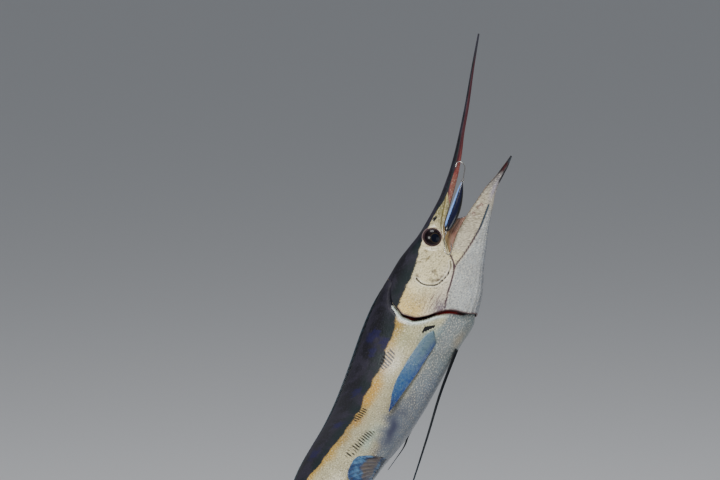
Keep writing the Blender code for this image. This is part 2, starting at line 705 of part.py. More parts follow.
def build_belly_fins(fish, paint):
    """The left belly fin lies along the belly, and the right one trails free of it."""
    turn = smooth_line(PELVIC_TURN)
    grid = []
    for share in stations(0.0, 1.0, 13):
        x = PELVIC_START + PELVIC_LENGTH * share
        lift = FIN_GAP + PELVIC_LIFT * share ** 1.5
        reach = math.degrees(pelvic_width(share) / belly_radius(x))
        row = []
        for i in range(5):
            angle = -math.radians(turn(share) - reach * (0.5 * i - 1.0))
            row.append(laid_pair(x, angle, lift, 2.0 * ridged(PELVIC_THICK, i, share)))
        grid.append(row)
    sheet("pelvic_fin_left", grid, fish, paint["fin"])

    root = body_point(*skin(PELVIC_START, math.radians(PELVIC_ROOT_TURN), FIN_GAP))
    _, forward, right, dorsal = SPINE[round((PELVIC_START - NECK_X) / SPINE_STEP)]
    out, flat = turned(-dorsal, right, -math.radians(PELVIC_TILT))
    course = curve_through([Vector(p) for p in PELVIC_TRAIL], 3)
    grid = []
    for j, (back, aside, down) in enumerate(course):
        share = j / (len(course) - 1)
        middle = root - forward * back + right * aside - dorsal * down
        row = []
        for i in range(5):
            inner = middle + flat * pelvic_width(share) * (0.5 * i - 1.0)
            row.append((inner + out * 2.0 * ridged(PELVIC_THICK, i, share), inner))
        grid.append(row)
    sheet("pelvic_fin_right", grid, fish, paint["fin"])


def belly_radius(x):
    """Half the body's height at a station."""
    return 0.5 * (back_line(x) - belly_line(x))


def build_anal_fin(fish, paint):
    """The first anal fin, laid over on the right flank."""
    edge_x = smooth_line(ANAL_EDGE_X)
    edge_angle = smooth_line(ANAL_EDGE_ANGLE)
    grid = []
    for share in stations(0.0, 1.0, 8):
        row = []
        for i in range(19):
            t = i / 18
            root_x = ANAL_START + ANAL_BASE * t
            x = root_x + (edge_x(t) - root_x) * share ** 1.2
            angle = math.radians(ANAL_ROOT_ANGLE - (ANAL_ROOT_ANGLE - edge_angle(t)) * share ** 0.85)
            row.append(laid_pair(x, angle, FIN_GAP + ANAL_LIFT * share, 2.0 * ridged(ANAL_THICK, i, share)))
        grid.append(row)
    sheet("anal_fin_first", grid, fish, paint["fin"])


def lure_radius(t):
    """A minnow's outline: slim in front, blunt behind."""
    return LURE_RADIUS * math.sin(math.pi * t ** LURE_SKEW) ** LURE_BLUNTNESS


def build_lure(fish, paint):
    axis = (LURE_REAR - LURE_FRONT).normalized()
    side = axis.cross(Vector((0.0, 0.0, 1.0))).normalized()
    top = side.cross(axis)
    rings = []
    for t in stations(0.004, 0.996, 13):
        middle = LURE_FRONT.lerp(LURE_REAR, t) - top * LURE_SAG * math.sin(math.pi * t)
        radius = lure_radius(t)
        ring = []
        for i in range(12):
            angle = 2.0 * math.pi * i / 12
            across = side * LURE_FLATNESS * radius * math.sin(angle)
            ring.append(tuple(middle + across + top * radius * math.cos(angle)))
        rings.append(ring)
    loft("lure_body", rings, fish, paint["lure"])
    for name, points in (("lure_hook_front", HOOK_FRONT), ("lure_hook_rear", HOOK_REAR)):
        wire(name, points, HOOK_WIRE, fish, paint["hook"])


def curve_through(points, steps):
    """A finer line through a few points."""
    fine = []
    ends = [points[0], *points, points[-1]]
    for i in range(len(points) - 1):
        a, b, c, d = ends[i:i + 4]
        for k in range(steps):
            t = k / steps
            fine.append(0.5 * (2 * b + (c - a) * t + (2 * a - 5 * b + 4 * c - d) * t * t
                               + (3 * b - a - 3 * c + d) * t ** 3))
    fine.append(points[-1])
    return fine


def wire(name, points, radius, collection, material):
    """A bent wire through fish-coordinate points."""
    fine = curve_through([Vector(p) for p in points], 3)
    curve = bpy.data.curves.new(name, "CURVE")
    curve.dimensions = "3D"
    curve.bevel_depth = radius
    curve.bevel_resolution = 1
    curve.use_fill_caps = True
    spline = curve.splines.new("POLY")
    spline.points.add(len(fine) - 1)
    for spot, place in zip(spline.points, fine):
        spot.co = (*body_point(*place), 1.0)
    curve.materials.append(material)
    thing = bpy.data.objects.new(name, curve)
    collection.objects.link(thing)


def build_stand(fish, cutters, paint):
    bpy.ops.mesh.primitive_cube_add(size=1.0, location=(0.0, 0.0, 0.5 * BASE_THICK))
    base = bpy.context.object
    base.name = "stand_base"
    base.data.name = "stand_base"
    base.scale = (BASE_WIDTH, BASE_LENGTH, BASE_THICK)
    bpy.ops.object.transform_apply(location=False, rotation=False, scale=True)
    shape = bmesh.new()
    shape.from_mesh(base.data)
    uprights = [e for e in shape.edges if abs(e.verts[0].co.z - e.verts[1].co.z) > 0.5 * BASE_THICK]
    bmesh.ops.bevel(shape, geom=uprights, offset=BASE_CORNER, segments=6, affect="EDGES", profile=0.5)
    shape.to_mesh(base.data)
    shape.free()
    base.data.materials.append(paint["base"])
    move_to(base, fish)
    cutter = loft("rod_room", [body_ring(x, GAP) for x in stations(0.62, 1.40, 40)], cutters)
    for name, station in zip(ROD_NAMES, ROD_STATIONS):
        lowest = min((body_point(*p) for p in body_ring(station)), key=lambda p: p.z)
        bottom = BASE_THICK + GAP
        top = lowest.z + ROD_SINK
        bpy.ops.mesh.primitive_cylinder_add(vertices=24, radius=ROD_RADIUS, depth=top - bottom,
                                            location=(lowest.x, lowest.y, 0.5 * (top + bottom)))
        rod = bpy.context.object
        rod.name = name
        rod.data.name = name
        rod.data.materials.append(paint["rod"])
        move_to(rod, fish)
        cut_away(rod, cutter)


def move_to(thing, collection):
    for old in list(thing.users_collection):
        old.objects.unlink(thing)
    collection.objects.link(thing)


def main():
    for thing in list(bpy.data.objects):
        bpy.data.objects.remove(thing)
    fish = bpy.data.collections.new("shortbill_spearfish")
    cutters = bpy.data.collections.new("cutters")
    bpy.context.scene.collection.children.link(fish)
    bpy.context.scene.collection.children.link(cutters)
    paint = {
        "skin": make_material("fish_skin", (0.45, 0.42, 0.34), 0.35),
        "bill": make_material("bill_skin", (0.10, 0.04, 0.04), 0.35),
        "fin": make_material("fin_membrane", (0.03, 0.10, 0.25), 0.40),
        "eye": make_material("eye", (0.05, 0.02, 0.05), 0.10),
        "gill": make_material("gill_filament", (0.25, 0.01, 0.01), 0.40),
        "lure": make_material("lure_paint", (0.02, 0.05, 0.35), 0.20),
        "hook": make_material("hook_steel", (0.45, 0.44, 0.42), 0.25, 1.0),
        "base": make_material("stand_board", (0.10, 0.07, 0.05), 0.45),
        "rod": make_material("stand_steel", (0.55, 0.55, 0.56), 0.30, 1.0),
    }
    build_head(fish, cutters, paint)
    build_webs(fish, paint)
    build_covers(fish, paint)
    build_gills(fish, paint)
    build_trunk(fish, paint)
    build_middle_fins(fish, paint)
    build_tail_fin(fish, paint)
    build_breast_fins(fish, paint)
    build_belly_fins(fish, paint)
    build_anal_fin(fish, paint)
    build_lure(fish, paint)
    build_stand(fish, cutters, paint)


main()
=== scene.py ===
# Looks of a leaping shortbill spearfish on its display stand.
# Fish coordinates, in metres: x runs back from the closed lower jaw's tip, y to the fish's right and z
# to its back, from the middle plane and the eye's height. Angles run round the body from the back, in
# degrees.
import math

import bmesh
import bpy
import numpy as np
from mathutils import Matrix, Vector, noise

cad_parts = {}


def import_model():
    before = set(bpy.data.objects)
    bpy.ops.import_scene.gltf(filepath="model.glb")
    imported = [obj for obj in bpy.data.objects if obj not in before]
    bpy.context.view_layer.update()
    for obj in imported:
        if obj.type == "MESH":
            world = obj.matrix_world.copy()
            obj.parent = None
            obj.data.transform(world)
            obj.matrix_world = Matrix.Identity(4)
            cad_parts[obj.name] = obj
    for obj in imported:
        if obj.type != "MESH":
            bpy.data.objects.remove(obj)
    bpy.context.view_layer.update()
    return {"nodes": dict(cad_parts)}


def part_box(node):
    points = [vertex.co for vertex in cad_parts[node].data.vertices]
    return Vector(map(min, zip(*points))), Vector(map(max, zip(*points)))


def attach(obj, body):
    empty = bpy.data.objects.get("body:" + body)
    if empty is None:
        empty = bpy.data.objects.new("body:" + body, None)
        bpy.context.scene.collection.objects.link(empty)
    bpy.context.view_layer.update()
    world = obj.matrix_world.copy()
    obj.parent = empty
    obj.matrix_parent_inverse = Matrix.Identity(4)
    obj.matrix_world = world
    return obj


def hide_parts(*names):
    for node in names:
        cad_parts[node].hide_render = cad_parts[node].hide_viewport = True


# The photo's frame and view
PICTURE_WIDTH = 720
VIEW_DOWN = 8.0
VIEW_DISTANCE = 8.0
METRES_PER_PIXEL = 0.00199
SENSOR = 36.0
VIEW_SHIFT = (-0.1435, -0.0062)

# How the fish stands
LEAN = 21.0
TURN_AWAY = 15.0
MARK_PLACE = np.array((0.150, 0.420, 0.965))
MARK_X = 0.205
NECK_X = 0.345
SPINE_STEP = 0.005
SPINE_END = 1.80
BEND = ((0.345, 0), (0.40, 6), (0.50, 22), (0.60, 38), (0.70, 49), (0.80, 53), (0.90, 49),
        (1.02, 36), (1.20, 14), (1.40, 4), (1.80, 2))
ROLL = ((0.345, 4), (0.45, 6), (0.60, 12), (0.75, 20), (0.88, 25), (1.10, 22), (1.40, 14), (1.80, 12))

# Landmarks by station
BILL_TIP = -0.228
BILL_BACK = 0.060
JAW_TIP = -0.009
MOUTH_BACK = 0.236
HEAD_BACK = 0.300
TAIL_ROOT = 1.460
TAIL_CAP = 0.020
FORK_X = 1.550

# Outline by station
BACK = ((-0.228, 0.0590), (-0.156, 0.0470), (-0.071, 0.0316), (-0.020, 0.0238), (0.031, 0.0172),
        (0.075, 0.0140), (0.114, 0.0136), (0.152, 0.0170), (0.190, 0.0225), (0.212, 0.0265),
        (0.243, 0.0360), (0.273, 0.0450), (0.312, 0.0518), (0.345, 0.0570), (0.42, 0.0600),
        (0.52, 0.0560), (0.63, 0.0500), (0.75, 0.0442), (0.84, 0.0408), (0.95, 0.0355), (1.05, 0.0275),
        (1.20, 0.0120), (1.33, -0.0060), (1.42, -0.0150), (1.47, -0.0170))
BELLY = ((-0.228, 0.0552), (-0.156, 0.0404), (-0.071, 0.0214), (-0.020, 0.0116), (0.031, -0.0005),
         (0.075, -0.0090), (0.114, -0.0220), (0.152, -0.0450), (0.190, -0.0810), (0.236, -0.1200),
         (0.26, -0.1280), (0.30, -0.1365), (0.345, -0.1385), (0.40, -0.1290), (0.46, -0.1210),
         (0.55, -0.1140), (0.65, -0.1100), (0.75, -0.1100), (0.84, -0.1115), (0.95, -0.1070),
         (1.05, -0.0940), (1.20, -0.0780), (1.33, -0.0630), (1.42, -0.0550), (1.47, -0.0530))
MOUTH_CUT = ((-0.228, 0.0556), (-0.156, 0.0412), (-0.071, 0.0224), (-0.020, 0.0130), (0.031, 0.0012),
             (0.075, -0.0060), (0.114, -0.0095), (0.152, -0.0125), (0.186, -0.0155), (0.210, -0.0280),
             (0.236, -0.0480), (0.252, -0.0610), (0.268, -0.0665), (0.30, -0.0700))
HALF_WIDTH = ((-0.228, 0.0018), (-0.156, 0.0037), (-0.071, 0.0063), (-0.020, 0.0080), (0.031, 0.0102),
              (0.075, 0.0135), (0.114, 0.0190), (0.152, 0.0260), (0.205, 0.0335), (0.25, 0.0380),
              (0.30, 0.0430), (0.345, 0.0460), (0.45, 0.0480), (0.60, 0.0460), (0.80, 0.0420),
              (1.00, 0.0350), (1.20, 0.0250), (1.35, 0.0160), (1.47, 0.0115))
FULLNESS = ((-0.228, 1.0), (0.06, 0.95), (0.15, 0.75), (0.21, 0.68), (0.30, 0.85), (0.40, 0.95),
            (0.60, 1.0), (1.47, 1.0))
JAW_RIM = ((-0.009, -0.0895), (0.016, -0.0830), (0.041, -0.0765), (0.068, -0.0668), (0.107, -0.0580),
           (0.150, -0.0495), (0.193, -0.0450), (0.236, -0.0480))
JAW_UNDER = ((-0.009, -0.0926), (0.010, -0.0925), (0.031, -0.0904), (0.063, -0.0872), (0.084, -0.0886),
             (0.102, -0.0920), (0.150, -0.1000), (0.190, -0.1095), (0.236, -0.1200))
JAW_WIDTH = ((-0.009, 0.0014), (0.015, 0.0036), (0.039, 0.0058), (0.102, 0.0150), (0.150, 0.0220),
             (0.190, 0.0290), (0.236, 0.0366))
JAW_WALL = 0.0045
JAW_HOLLOW_START = 0.045
THROAT_END = np.array((0.272, 0.0, -0.066))

# Gill covers, and the gills under them
COVER_EDGE = ((-0.139, 0.324), (-0.119, 0.335), (-0.088, 0.343), (-0.070, 0.355), (-0.050, 0.378),
              (-0.030, 0.390), (-0.010, 0.391), (0.006, 0.381), (0.022, 0.370), (0.034, 0.350),
              (0.044, 0.322))
COVER_TOP = (20.0, 34.0)
GILL_SINK = 0.0085
GILL_SINK_BELOW = 0.42
GILL_TURNS = (62.0, 152.0)
GILL_FRONT = 0.308
GILL_BACK = 0.362
GILL_RISE_START = -0.004
GILL_RISE_LENGTH = 0.026
BED_BACK = 0.420
COVER_WALL = 0.0026
COVER_FLARE = 0.0036
POCKET_X = 0.306

# How wide the gill slit's painted shadow shows behind a gill cover, by degrees round the body
SLIT_SHADOW_WIDTH = ((0.0, 0.0010), (44.0, 0.0010), (60.0, 0.0030), (75.0, 0.0040), (85.0, 0.0080),
             (110.0, 0.0110), (125.0, 0.0080), (141.0, 0.0070), (150.0, 0.0020), (180.0, 0.0))

# Eyes and nostrils, on skin further than SNOUT_HALF from the middle plane
EYE_X = 0.2135
EYE_Z = -0.0020
EYE_OUT = 0.0228
EYE_RADIUS = 0.0205
EYE_DEPTH = 0.0138
EYE_SEEN = 0.0188
EYE_RIM_OUT = 0.0290
EYE_RIM_SPREAD = 0.011
SNOUT_HALF = 0.008
PUPIL = (0.2145, -0.0085)
NOSTRIL_X = 0.174
NOSTRIL_Z = 0.0070
NOSTRIL_SIZE = (0.0058, 0.0031)

# Keels on the tail's narrow end
KEEL_ANGLES = (80.0, 100.0)
KEEL_SPREAD = 5.0
KEEL_HEIGHT = 0.0034
KEEL_START = 1.365

# First dorsal fin, folded down to a low crest
CREST = ((0.335, 0.0015), (0.37, 0.0042), (0.45, 0.0050), (0.70, 0.0045), (1.0, 0.0035), (1.13, 0.0015))
CREST_LEAN = 0.014

# Breast fin: its edges in degrees round the body, by share of its length
PECTORAL_START = 0.402
PECTORAL_LENGTH = 0.315
PECTORAL_SKEW = 0.029
PECTORAL_LEAD = ((0.0, 124.5), (0.12, 123.0), (0.3, 121.5), (0.45, 120.0), (0.6, 119.0), (0.8, 119.5),
                 (1.0, 120.5))
PECTORAL_TRAIL = ((0.0, 112.5), (0.06, 107.0), (0.2, 103.5), (0.35, 101.5), (0.5, 101.5), (0.7, 106.0),
                  (0.85, 113.0), (1.0, 119.5))
PECTORAL_LIFT = 0.012

# Belly fins: two long thin blades. The left one lies along the belly, at degrees by share of its length.
# The right one trails free of the bent body, by points back, to the right and down from its root
PELVIC_START = 0.412
PELVIC_LENGTH = 0.450
PELVIC_TURN = ((0.0, 160.0), (0.3, 150.0), (0.5, 146.5), (0.6, 152.0), (0.7, 157.0), (1.0, 160.0))
PELVIC_LIFT = 0.009
PELVIC_ROOT_TURN = 165.0
PELVIC_TILT = 30.0
PELVIC_TRAIL = ((0.0, 0.0, 0.0), (0.10, 0.0090, 0.0010), (0.20, 0.0380, 0.0090), (0.30, 0.0890, 0.0165),
                (0.42, 0.1580, 0.0245))
PELVIC_HALF_WIDTH = 0.0030

# Skin web at each corner of the mouth: stations where it starts on the head and on the jaw's rim
WEB_UPPER = 0.165
WEB_LOWER = 0.145
WEB_BOW = 0.004
WEB_THICK = 0.0012
WEB_GAP = 0.0006

# First anal fin, laid over on the right flank: its base, and its outer edge by share of the base
ANAL_START = 0.866
ANAL_BASE = 0.135
ANAL_ROOT_ANGLE = 177.0
ANAL_EDGE_X = ((0.0, 0.931), (0.08, 0.933), (0.16, 0.953), (0.28, 0.978), (0.42, 0.998), (0.65, 1.010),
               (1.0, 1.020))
ANAL_EDGE_ANGLE = ((0.0, 137.0), (0.08, 125.0), (0.16, 120.5), (0.28, 121.0), (0.42, 127.0),
                   (0.65, 150.0), (1.0, 170.0))
ANAL_LIFT = 0.008

# Second dorsal and second anal fin: where their bases start, and their size
SECOND_DORSAL_X = 1.235
SECOND_ANAL_X = 1.215
SECOND_BASE = 0.065
SECOND_SWEEP = 0.027
SECOND_EDGE = 0.105
SECOND_HEIGHT = 0.034
SECOND_REAR_HEIGHT = 0.006

# Tail fin: how far its lobes reach behind the fork and from the middle line
LOBE_BACK = 0.112
LOBE_REACH = 0.232

# Half thickness of the fins in the middle plane, how deep they stand in the skin, and the gap under
# those that lie on it
CREST_THICK = 0.0022
SECOND_THICK = 0.0016
TAIL_FIN_THICK = 0.0042
FIN_ROOT = 0.0004
FIN_GAP = 0.0006

# Lure and its hooks
LURE_FRONT = np.array((0.084, 0.0270, -0.0185))
LURE_REAR = np.array((0.197, 0.0450, -0.0245))
LURE_RADIUS = 0.0103
LURE_FLATNESS = 0.72
LURE_SAG = 0.0040
LURE_SKEW = 1.50
LURE_BLUNTNESS = 0.40
HOOK_WIRE = 0.0010
RING_WIRE = 0.0007
BARB_OUT = 0.0018
HOOK_FRONT = ((0.0815, 0.0260, -0.0190), (0.0785, 0.0266, -0.0200), (0.0755, 0.0262, -0.0182),
              (0.0650, 0.0254, -0.0160), (0.0555, 0.0245, -0.0141), (0.0490, 0.0235, -0.0105),
              (0.0448, 0.0215, -0.0021), (0.0462, 0.0195, 0.0037), (0.0514, 0.0178, 0.0055),
              (0.0596, 0.0172, 0.0035))
HOOK_REAR = ((0.1995, 0.0455, -0.0250), (0.2030, 0.0465, -0.0262), (0.2068, 0.0465, -0.0252),
             (0.2155, 0.0470, -0.0271), (0.2265, 0.0475, -0.0310), (0.2356, 0.0475, -0.0352),
             (0.2400, 0.0475, -0.0399), (0.2399, 0.0475, -0.0464), (0.2302, 0.0475, -0.0477),
             (0.2221, 0.0470, -0.0444), (0.2143, 0.0465, -0.0403))

# Collar at the foot of each rod: radius, and height above the board
COLLAR_PROFILE = ((0.0111, 0.0), (0.0250, 0.0), (0.0262, 0.0012), (0.0262, 0.0050), (0.0250, 0.0062),
                  (0.0165, 0.0080), (0.0150, 0.0098), (0.0150, 0.0160), (0.0140, 0.0172), (0.0111, 0.0172))

# Studio lamps: name, place, width, power and colour
LAMPS = (("sky", (0.2, 0.3, 4.5), 1.6, 90.0, (1.0, 1.0, 1.0)),
         ("window", (-2.0, -4.2, 3.4), 1.6, 195.0, (1.0, 0.98, 0.94)),
         ("right", (3.4, -2.0, 1.6), 2.6, 36.0, (0.92, 0.96, 1.0)))
ROOM_COLOUR = (0.86, 0.90, 0.95, 1.0)
ROOM_STRENGTH = 0.30
FLOOR_REACH = 90.0

# How finely the skin is divided, and how near its points are sewn together
UPPER_STEPS = 96
LOWER_STEPS = 72
COLUMNS = UPPER_STEPS + LOWER_STEPS + 1
PALATE_STEPS = 24
FLOOR_STEPS = 30
FINE_ROWS_END = 0.90
SEWING_GAP = 2e-5

# Scale of the soft clouds that make the paints' edges uneven
CLOUD_SCALE = 26.0

# Both sides of the fish
SIDES = ((1, "right"), (-1, "left"))

# The solids that the skin replaces
SKIN_NODES = ("bill", "head", "lower_jaw", "throat", "nape", "gill_cover_right", "gill_cover_left",
              "trunk_front", "trunk_middle", "trunk_rear", "tail")

# Lines on the head, as (x, z) points of the right side
PREOPERCLE = ((0.295, 0.001), (0.308, -0.003), (0.314, -0.018), (0.3115, -0.034), (0.304, -0.046),
              (0.284, -0.0555), (0.264, -0.058), (0.250, -0.053))
MAXILLA_FOLD = ((0.122, 0.0020), (0.140, -0.0015), (0.160, -0.0045), (0.178, -0.0080), (0.192, -0.0130),
                (0.210, -0.0235), (0.232, -0.0425))
GULAR_FOLD = ((0.096, -0.0838), (0.120, -0.0838), (0.137, -0.0842), (0.158, -0.0838), (0.180, -0.0812),
              (0.206, -0.0770), (0.230, -0.0720), (0.254, -0.0655), (0.270, -0.0670), (0.294, -0.0690),
              (0.314, -0.0705), (0.345, -0.0750))
CHEEK_FOLD = ((0.236, -0.048), (0.244, -0.055), (0.252, -0.0605), (0.262, -0.0645))

# Mottles and small dark ticks on the cheek and deep gold on the flank, by station and degrees, and brown
# rings on the jaw's side, by (x, z)
CHEEK_SPOTS = ((0.252, 58), (0.260, 62), (0.268, 64), (0.276, 78), (0.300, 86), (0.290, 92))
CHEEK_TICKS = ((0.300, 63), (0.306, 65), (0.282, 80), (0.286, 93), (0.302, 84), (0.298, 88), (0.294, 92))
GOLD_PATCHES = ((0.614, 80), (0.666, 81), (0.778, 86))
JAW_RINGS = ((0.112, -0.0700), (0.119, -0.0665), (0.136, -0.0620))

# Indigo patches on the back: station and degrees of their middle, then how long and how wide they are
BACK_PATCHES = ((0.462, 38, 0.016, 9), (0.470, 64, 0.014, 8), (0.450, 46, 0.010, 7), (0.500, 52, 0.016, 6),
                (0.636, 56, 0.018, 7), (0.794, 63, 0.018, 9), (0.918, 50, 0.020, 11))

# Lower edge of the dark back, in degrees round the body by station
DARK_EDGE = ((-0.228, 120), (-0.17, 86), (-0.10, 78), (0.0, 80), (0.06, 84), (0.10, 76), (0.122, 68),
             (0.136, 60), (0.150, 48), (0.17, 41), (0.21, 38), (0.244, 45), (0.266, 53), (0.30, 56),
             (0.33, 58), (0.374, 61), (0.408, 65), (0.444, 70), (0.488, 71), (0.532, 74), (0.578, 73),
             (0.64, 75), (0.696, 79), (0.786, 80), (0.854, 81), (0.91, 78), (0.96, 72), (1.006, 60),
             (1.10, 62), (1.30, 75), (1.46, 100))

# Where the flank's cream turns grey, in degrees round the body by station
GREY_EDGE = ((0.30, 118), (0.40, 118), (0.488, 123), (0.74, 120), (0.786, 125), (0.84, 135),
             (0.876, 152), (1.0, 164), (1.4, 150))


def rgb(red, green, blue):
    """A colour named by its display values, 0 to 255, as the renderer's own."""
    def part(value):
        value = value / 255.0
        return value / 12.92 if value <= 0.04045 else ((value + 0.055) / 1.055) ** 2.4
    return np.array((part(red), part(green), part(blue)))


CREAM = rgb(238, 225, 176)
CREAM_SNOUT = rgb(140, 134, 84)
CREAM_LOW = rgb(238, 226, 202)
COVER_GOLD = rgb(240, 208, 128)
COVER_LOW = rgb(146, 136, 144)
LIP_CREAM = rgb(206, 190, 120)
THROAT = rgb(190, 194, 191)
# Painted shade of the throat's underside, a fold line and its pleats
THROAT_PAINTED_SHADE = rgb(138, 146, 158)
MAROON = rgb(62, 22, 32)
SALMON = rgb(140, 64, 56)
SNOUT_PINK = rgb(132, 82, 68)
BILL_TIP_DARK = rgb(30, 34, 42)
JAW_CREAM = rgb(200, 190, 164)
JAW_GREY = rgb(126, 122, 120)
JAW_SLATE = rgb(28, 38, 48)
JAW_TIP_DARK = rgb(20, 9, 14)
JAW_TIP_RED = rgb(78, 18, 22)
JAW_RIM_DARK = rgb(30, 22, 26)
JAW_VIOLET = rgb(160, 152, 172)
BLOTCH = rgb(112, 54, 58)
COVER_RIM = rgb(96, 74, 74)
CLEITHRUM = rgb(226, 246, 238)
# Painted shade in the hollow above the breast fin's root
AXIL_SHADE = rgb(10, 9, 14)
BREAST = rgb(120, 132, 134)
BREAST_BEIGE = rgb(176, 164, 138)
GOLD = rgb(184, 147, 52)
GOLD_DEEP = rgb(200, 150, 40)
FLANK_CREAM = rgb(194, 186, 144)
FLANK_OLIVE = rgb(172, 174, 118)
FLANK_GREY = rgb(128, 140, 146)
BELLY_GREY = rgb(106, 118, 132)
SMUDGE = rgb(46, 48, 76)
# Cyan tint near the breast fin's root, also used as a painted sheen on the lower flank
CYAN_TINT_AND_SHEEN = rgb(134, 184, 182)
# Painted shade on the belly beside the anal fin's root
ANAL_ROOT_SHADE = rgb(46, 64, 80)
LINING = rgb(146, 122, 80)
LINING_RED = rgb(140, 94, 78)
# Painted deep shade inside the gill pockets and far down the throat
DEEP_SHADE = rgb(14, 6, 6)
GILL_RED = rgb(110, 12, 14)


def line(points):
    """A smooth curve through a few points that never overshoots them, for arrays."""
    xs, ys = np.array(points, dtype=float).T
    steps = np.diff(xs)
    slopes = np.diff(ys) / steps
    turns = np.zeros(len(xs))
    turns[0] = slopes[0]
    turns[-1] = slopes[-1]
    for i in range(1, len(xs) - 1):
        if slopes[i - 1] * slopes[i] > 0.0:
            before = 2.0 * steps[i] + steps[i - 1]
            after = steps[i] + 2.0 * steps[i - 1]
            turns[i] = (before + after) / (before / slopes[i - 1] + after / slopes[i])

    def value(x):
        x = np.clip(x, xs[0], xs[-1])
        i = np.clip(np.searchsorted(xs, x, side="right") - 1, 0, len(xs) - 2)
        t = (x - xs[i]) / steps[i]
        return ((1 + 2 * t) * (1 - t) ** 2 * ys[i] + t * (1 - t) ** 2 * steps[i] * turns[i]
                + t * t * (3 - 2 * t) * ys[i + 1] + t * t * (t - 1) * steps[i] * turns[i + 1])

    return value


back_line = line(BACK)
belly_line = line(BELLY)
cut_line = line(MOUTH_CUT)
width_line = line(HALF_WIDTH)
fullness_line = line(FULLNESS)
jaw_rim = line(JAW_RIM)
jaw_under = line(JAW_UNDER)
jaw_width = line(JAW_WIDTH)
cover_edge = line(COVER_EDGE)
dark_edge = line(DARK_EDGE)
grey_edge = line(GREY_EDGE)


def straight(points, x):
    """Straight lines through a few points."""
    return np.interp(x, *zip(*points))


def ease(t):
    """A smooth step from 0 to 1."""
    t = np.clip(t, 0.0, 1.0)
    return t * t * (3.0 - 2.0 * t)


def grow(x, start, length):
    """0 up to a start, then smoothly up to 1 over a length."""
    return ease((x - start) / length)


def fade(x, start, length):
    """1 up to a start, then smoothly down to 0 over a length."""
    return 1.0 - grow(x, start, length)


def bump(distance, spread):
    """1 at no distance, falling to almost nothing at about twice the spread."""
    return np.exp(-(distance / spread) ** 2)


def spot(x, turn, middle_x, middle_turn, length, width):
    """A soft spot on the skin, by station and degrees round the body."""
    return bump(x - middle_x, length) * bump(turn - middle_turn, width)


def spots(x, turn, strength, places, *size):
    """The sum of several soft spots, all of one size or each with its own."""
    return sum(strength * spot(x, turn, *place, *size) for place in places)


def turned(a, b, angle):
    """Two square directions turned in their plane, the first away from the second."""
    return a * math.cos(angle) - b * math.sin(angle), b * math.cos(angle) + a * math.sin(angle)


def view_axes():
    """The photo's directions in the world: to its right, into it and up."""
    down = math.radians(VIEW_DOWN)
    across = np.array((1.0, 0.0, 0.0))
    into = np.array((0.0, math.cos(down), -math.sin(down)))
    up = np.array((0.0, math.sin(down), math.cos(down)))
    return across, into, up


def make_spine():
    """Arrays of points, forward, right and back directions along the bent body."""
    lean = math.radians(LEAN)
    away = math.radians(TURN_AWAY)
    across, into, up = view_axes()
    forward = (across * math.sin(lean) + up * math.cos(lean)) * math.cos(away) + into * math.sin(away)
    dorsal = up * math.sin(lean) - across * math.cos(lean)
    right = np.cross(forward, dorsal)
    bend = line(BEND)
    roll = line(ROLL)
    dorsal, right = turned(dorsal, right, math.radians(float(roll(NECK_X))))
    point = MARK_PLACE - forward * (NECK_X - MARK_X)
    rows = [(point, forward, right, dorsal)]
    for i in range(round((SPINE_END - NECK_X) / SPINE_STEP)):
        x = NECK_X + i * SPINE_STEP
        side = math.radians(float(bend(x + SPINE_STEP) - bend(x)))
        twist = math.radians(float(roll(x + SPINE_STEP) - roll(x)))
        forward, right = turned(forward, right, side)
        dorsal, right = turned(dorsal, right, twist)
        point = point - forward * SPINE_STEP
        rows.append((point, forward, right, dorsal))
    return [np.array([row[k] for row in rows]) for k in range(4)]


SPINE = make_spine()


def body_points(x, y, z):
    """Points of the straight fish carried onto the bent one, as an array of world points."""
    x, y, z = np.broadcast_arrays(np.asarray(x, float), y, z)
    place = np.clip((x - NECK_X) / SPINE_STEP, 0.0, len(SPINE[0]) - 1.001)
    i = place.astype(int)
    t = (place - i)[..., None]
    point, right, dorsal = (SPINE[k][i] * (1 - t) + SPINE[k][i + 1] * t for k in (0, 2, 3))
    ahead = np.minimum(x - NECK_X, 0.0)[..., None] * SPINE[1][0]
    return point - ahead + right * y[..., None] + dorsal * z[..., None]


def on_body(points):
    """Fish coordinates stacked on the last axis, carried onto the bent fish."""
    return body_points(points[..., 0], points[..., 1], points[..., 2])


def section(x):
    """Middle height, half height, half width and fullness at stations."""
    top = back_line(x)
    bottom = belly_line(x)
    return 0.5 * (top + bottom), 0.5 * (top - bottom), width_line(x), fullness_line(x)


def flank(x, degrees, off=0.0):
    """The body's surface, as fish coordinates stacked on the last axis."""
    x, degrees, off = np.broadcast_arrays(np.asarray(x, float), degrees, off)
    angle = np.radians(degrees)
    middle, half, width, full = section(x)
    side = np.sin(angle)
    y = width * np.sign(side) * np.abs(side) ** full
    z = middle + half * np.cos(angle)
    out_y = half * side
    out_z = width * np.cos(angle)
    size = np.maximum(np.hypot(out_y, out_z), 1e-9)
    return np.stack((x, y + off * out_y / size, z + off * out_z / size), axis=-1)


def edge_station(degrees):
    """Where the gill cover ends, by the angle round the body."""
    return cover_edge(flank(NECK_X, degrees)[..., 2])


def gill_sink(x, degrees):
    """How far the flank sinks to leave room for the gills under their covers."""
    turn = np.abs(degrees)
    along = fade(x - edge_station(degrees), GILL_RISE_START, GILL_RISE_LENGTH)
    along = np.where(x < HEAD_BACK, 0.0, along)
    around = grow(turn, COVER_TOP[0], COVER_TOP[1] - COVER_TOP[0])
    return GILL_SINK * along * around * (1.0 - GILL_SINK_BELOW * grow(turn, 150.0, 30.0))


def keel(x, degrees):
    """Height of the two keels on each side of the tail's narrow end."""
    turn = np.abs(degrees)
    near = np.minimum(np.abs(turn - KEEL_ANGLES[0]), np.abs(turn - KEEL_ANGLES[1]))
    along = grow(x, KEEL_START, TAIL_ROOT - KEEL_START)
    return KEEL_HEIGHT * along * np.maximum(0.0, 1.0 - near / KEEL_SPREAD)


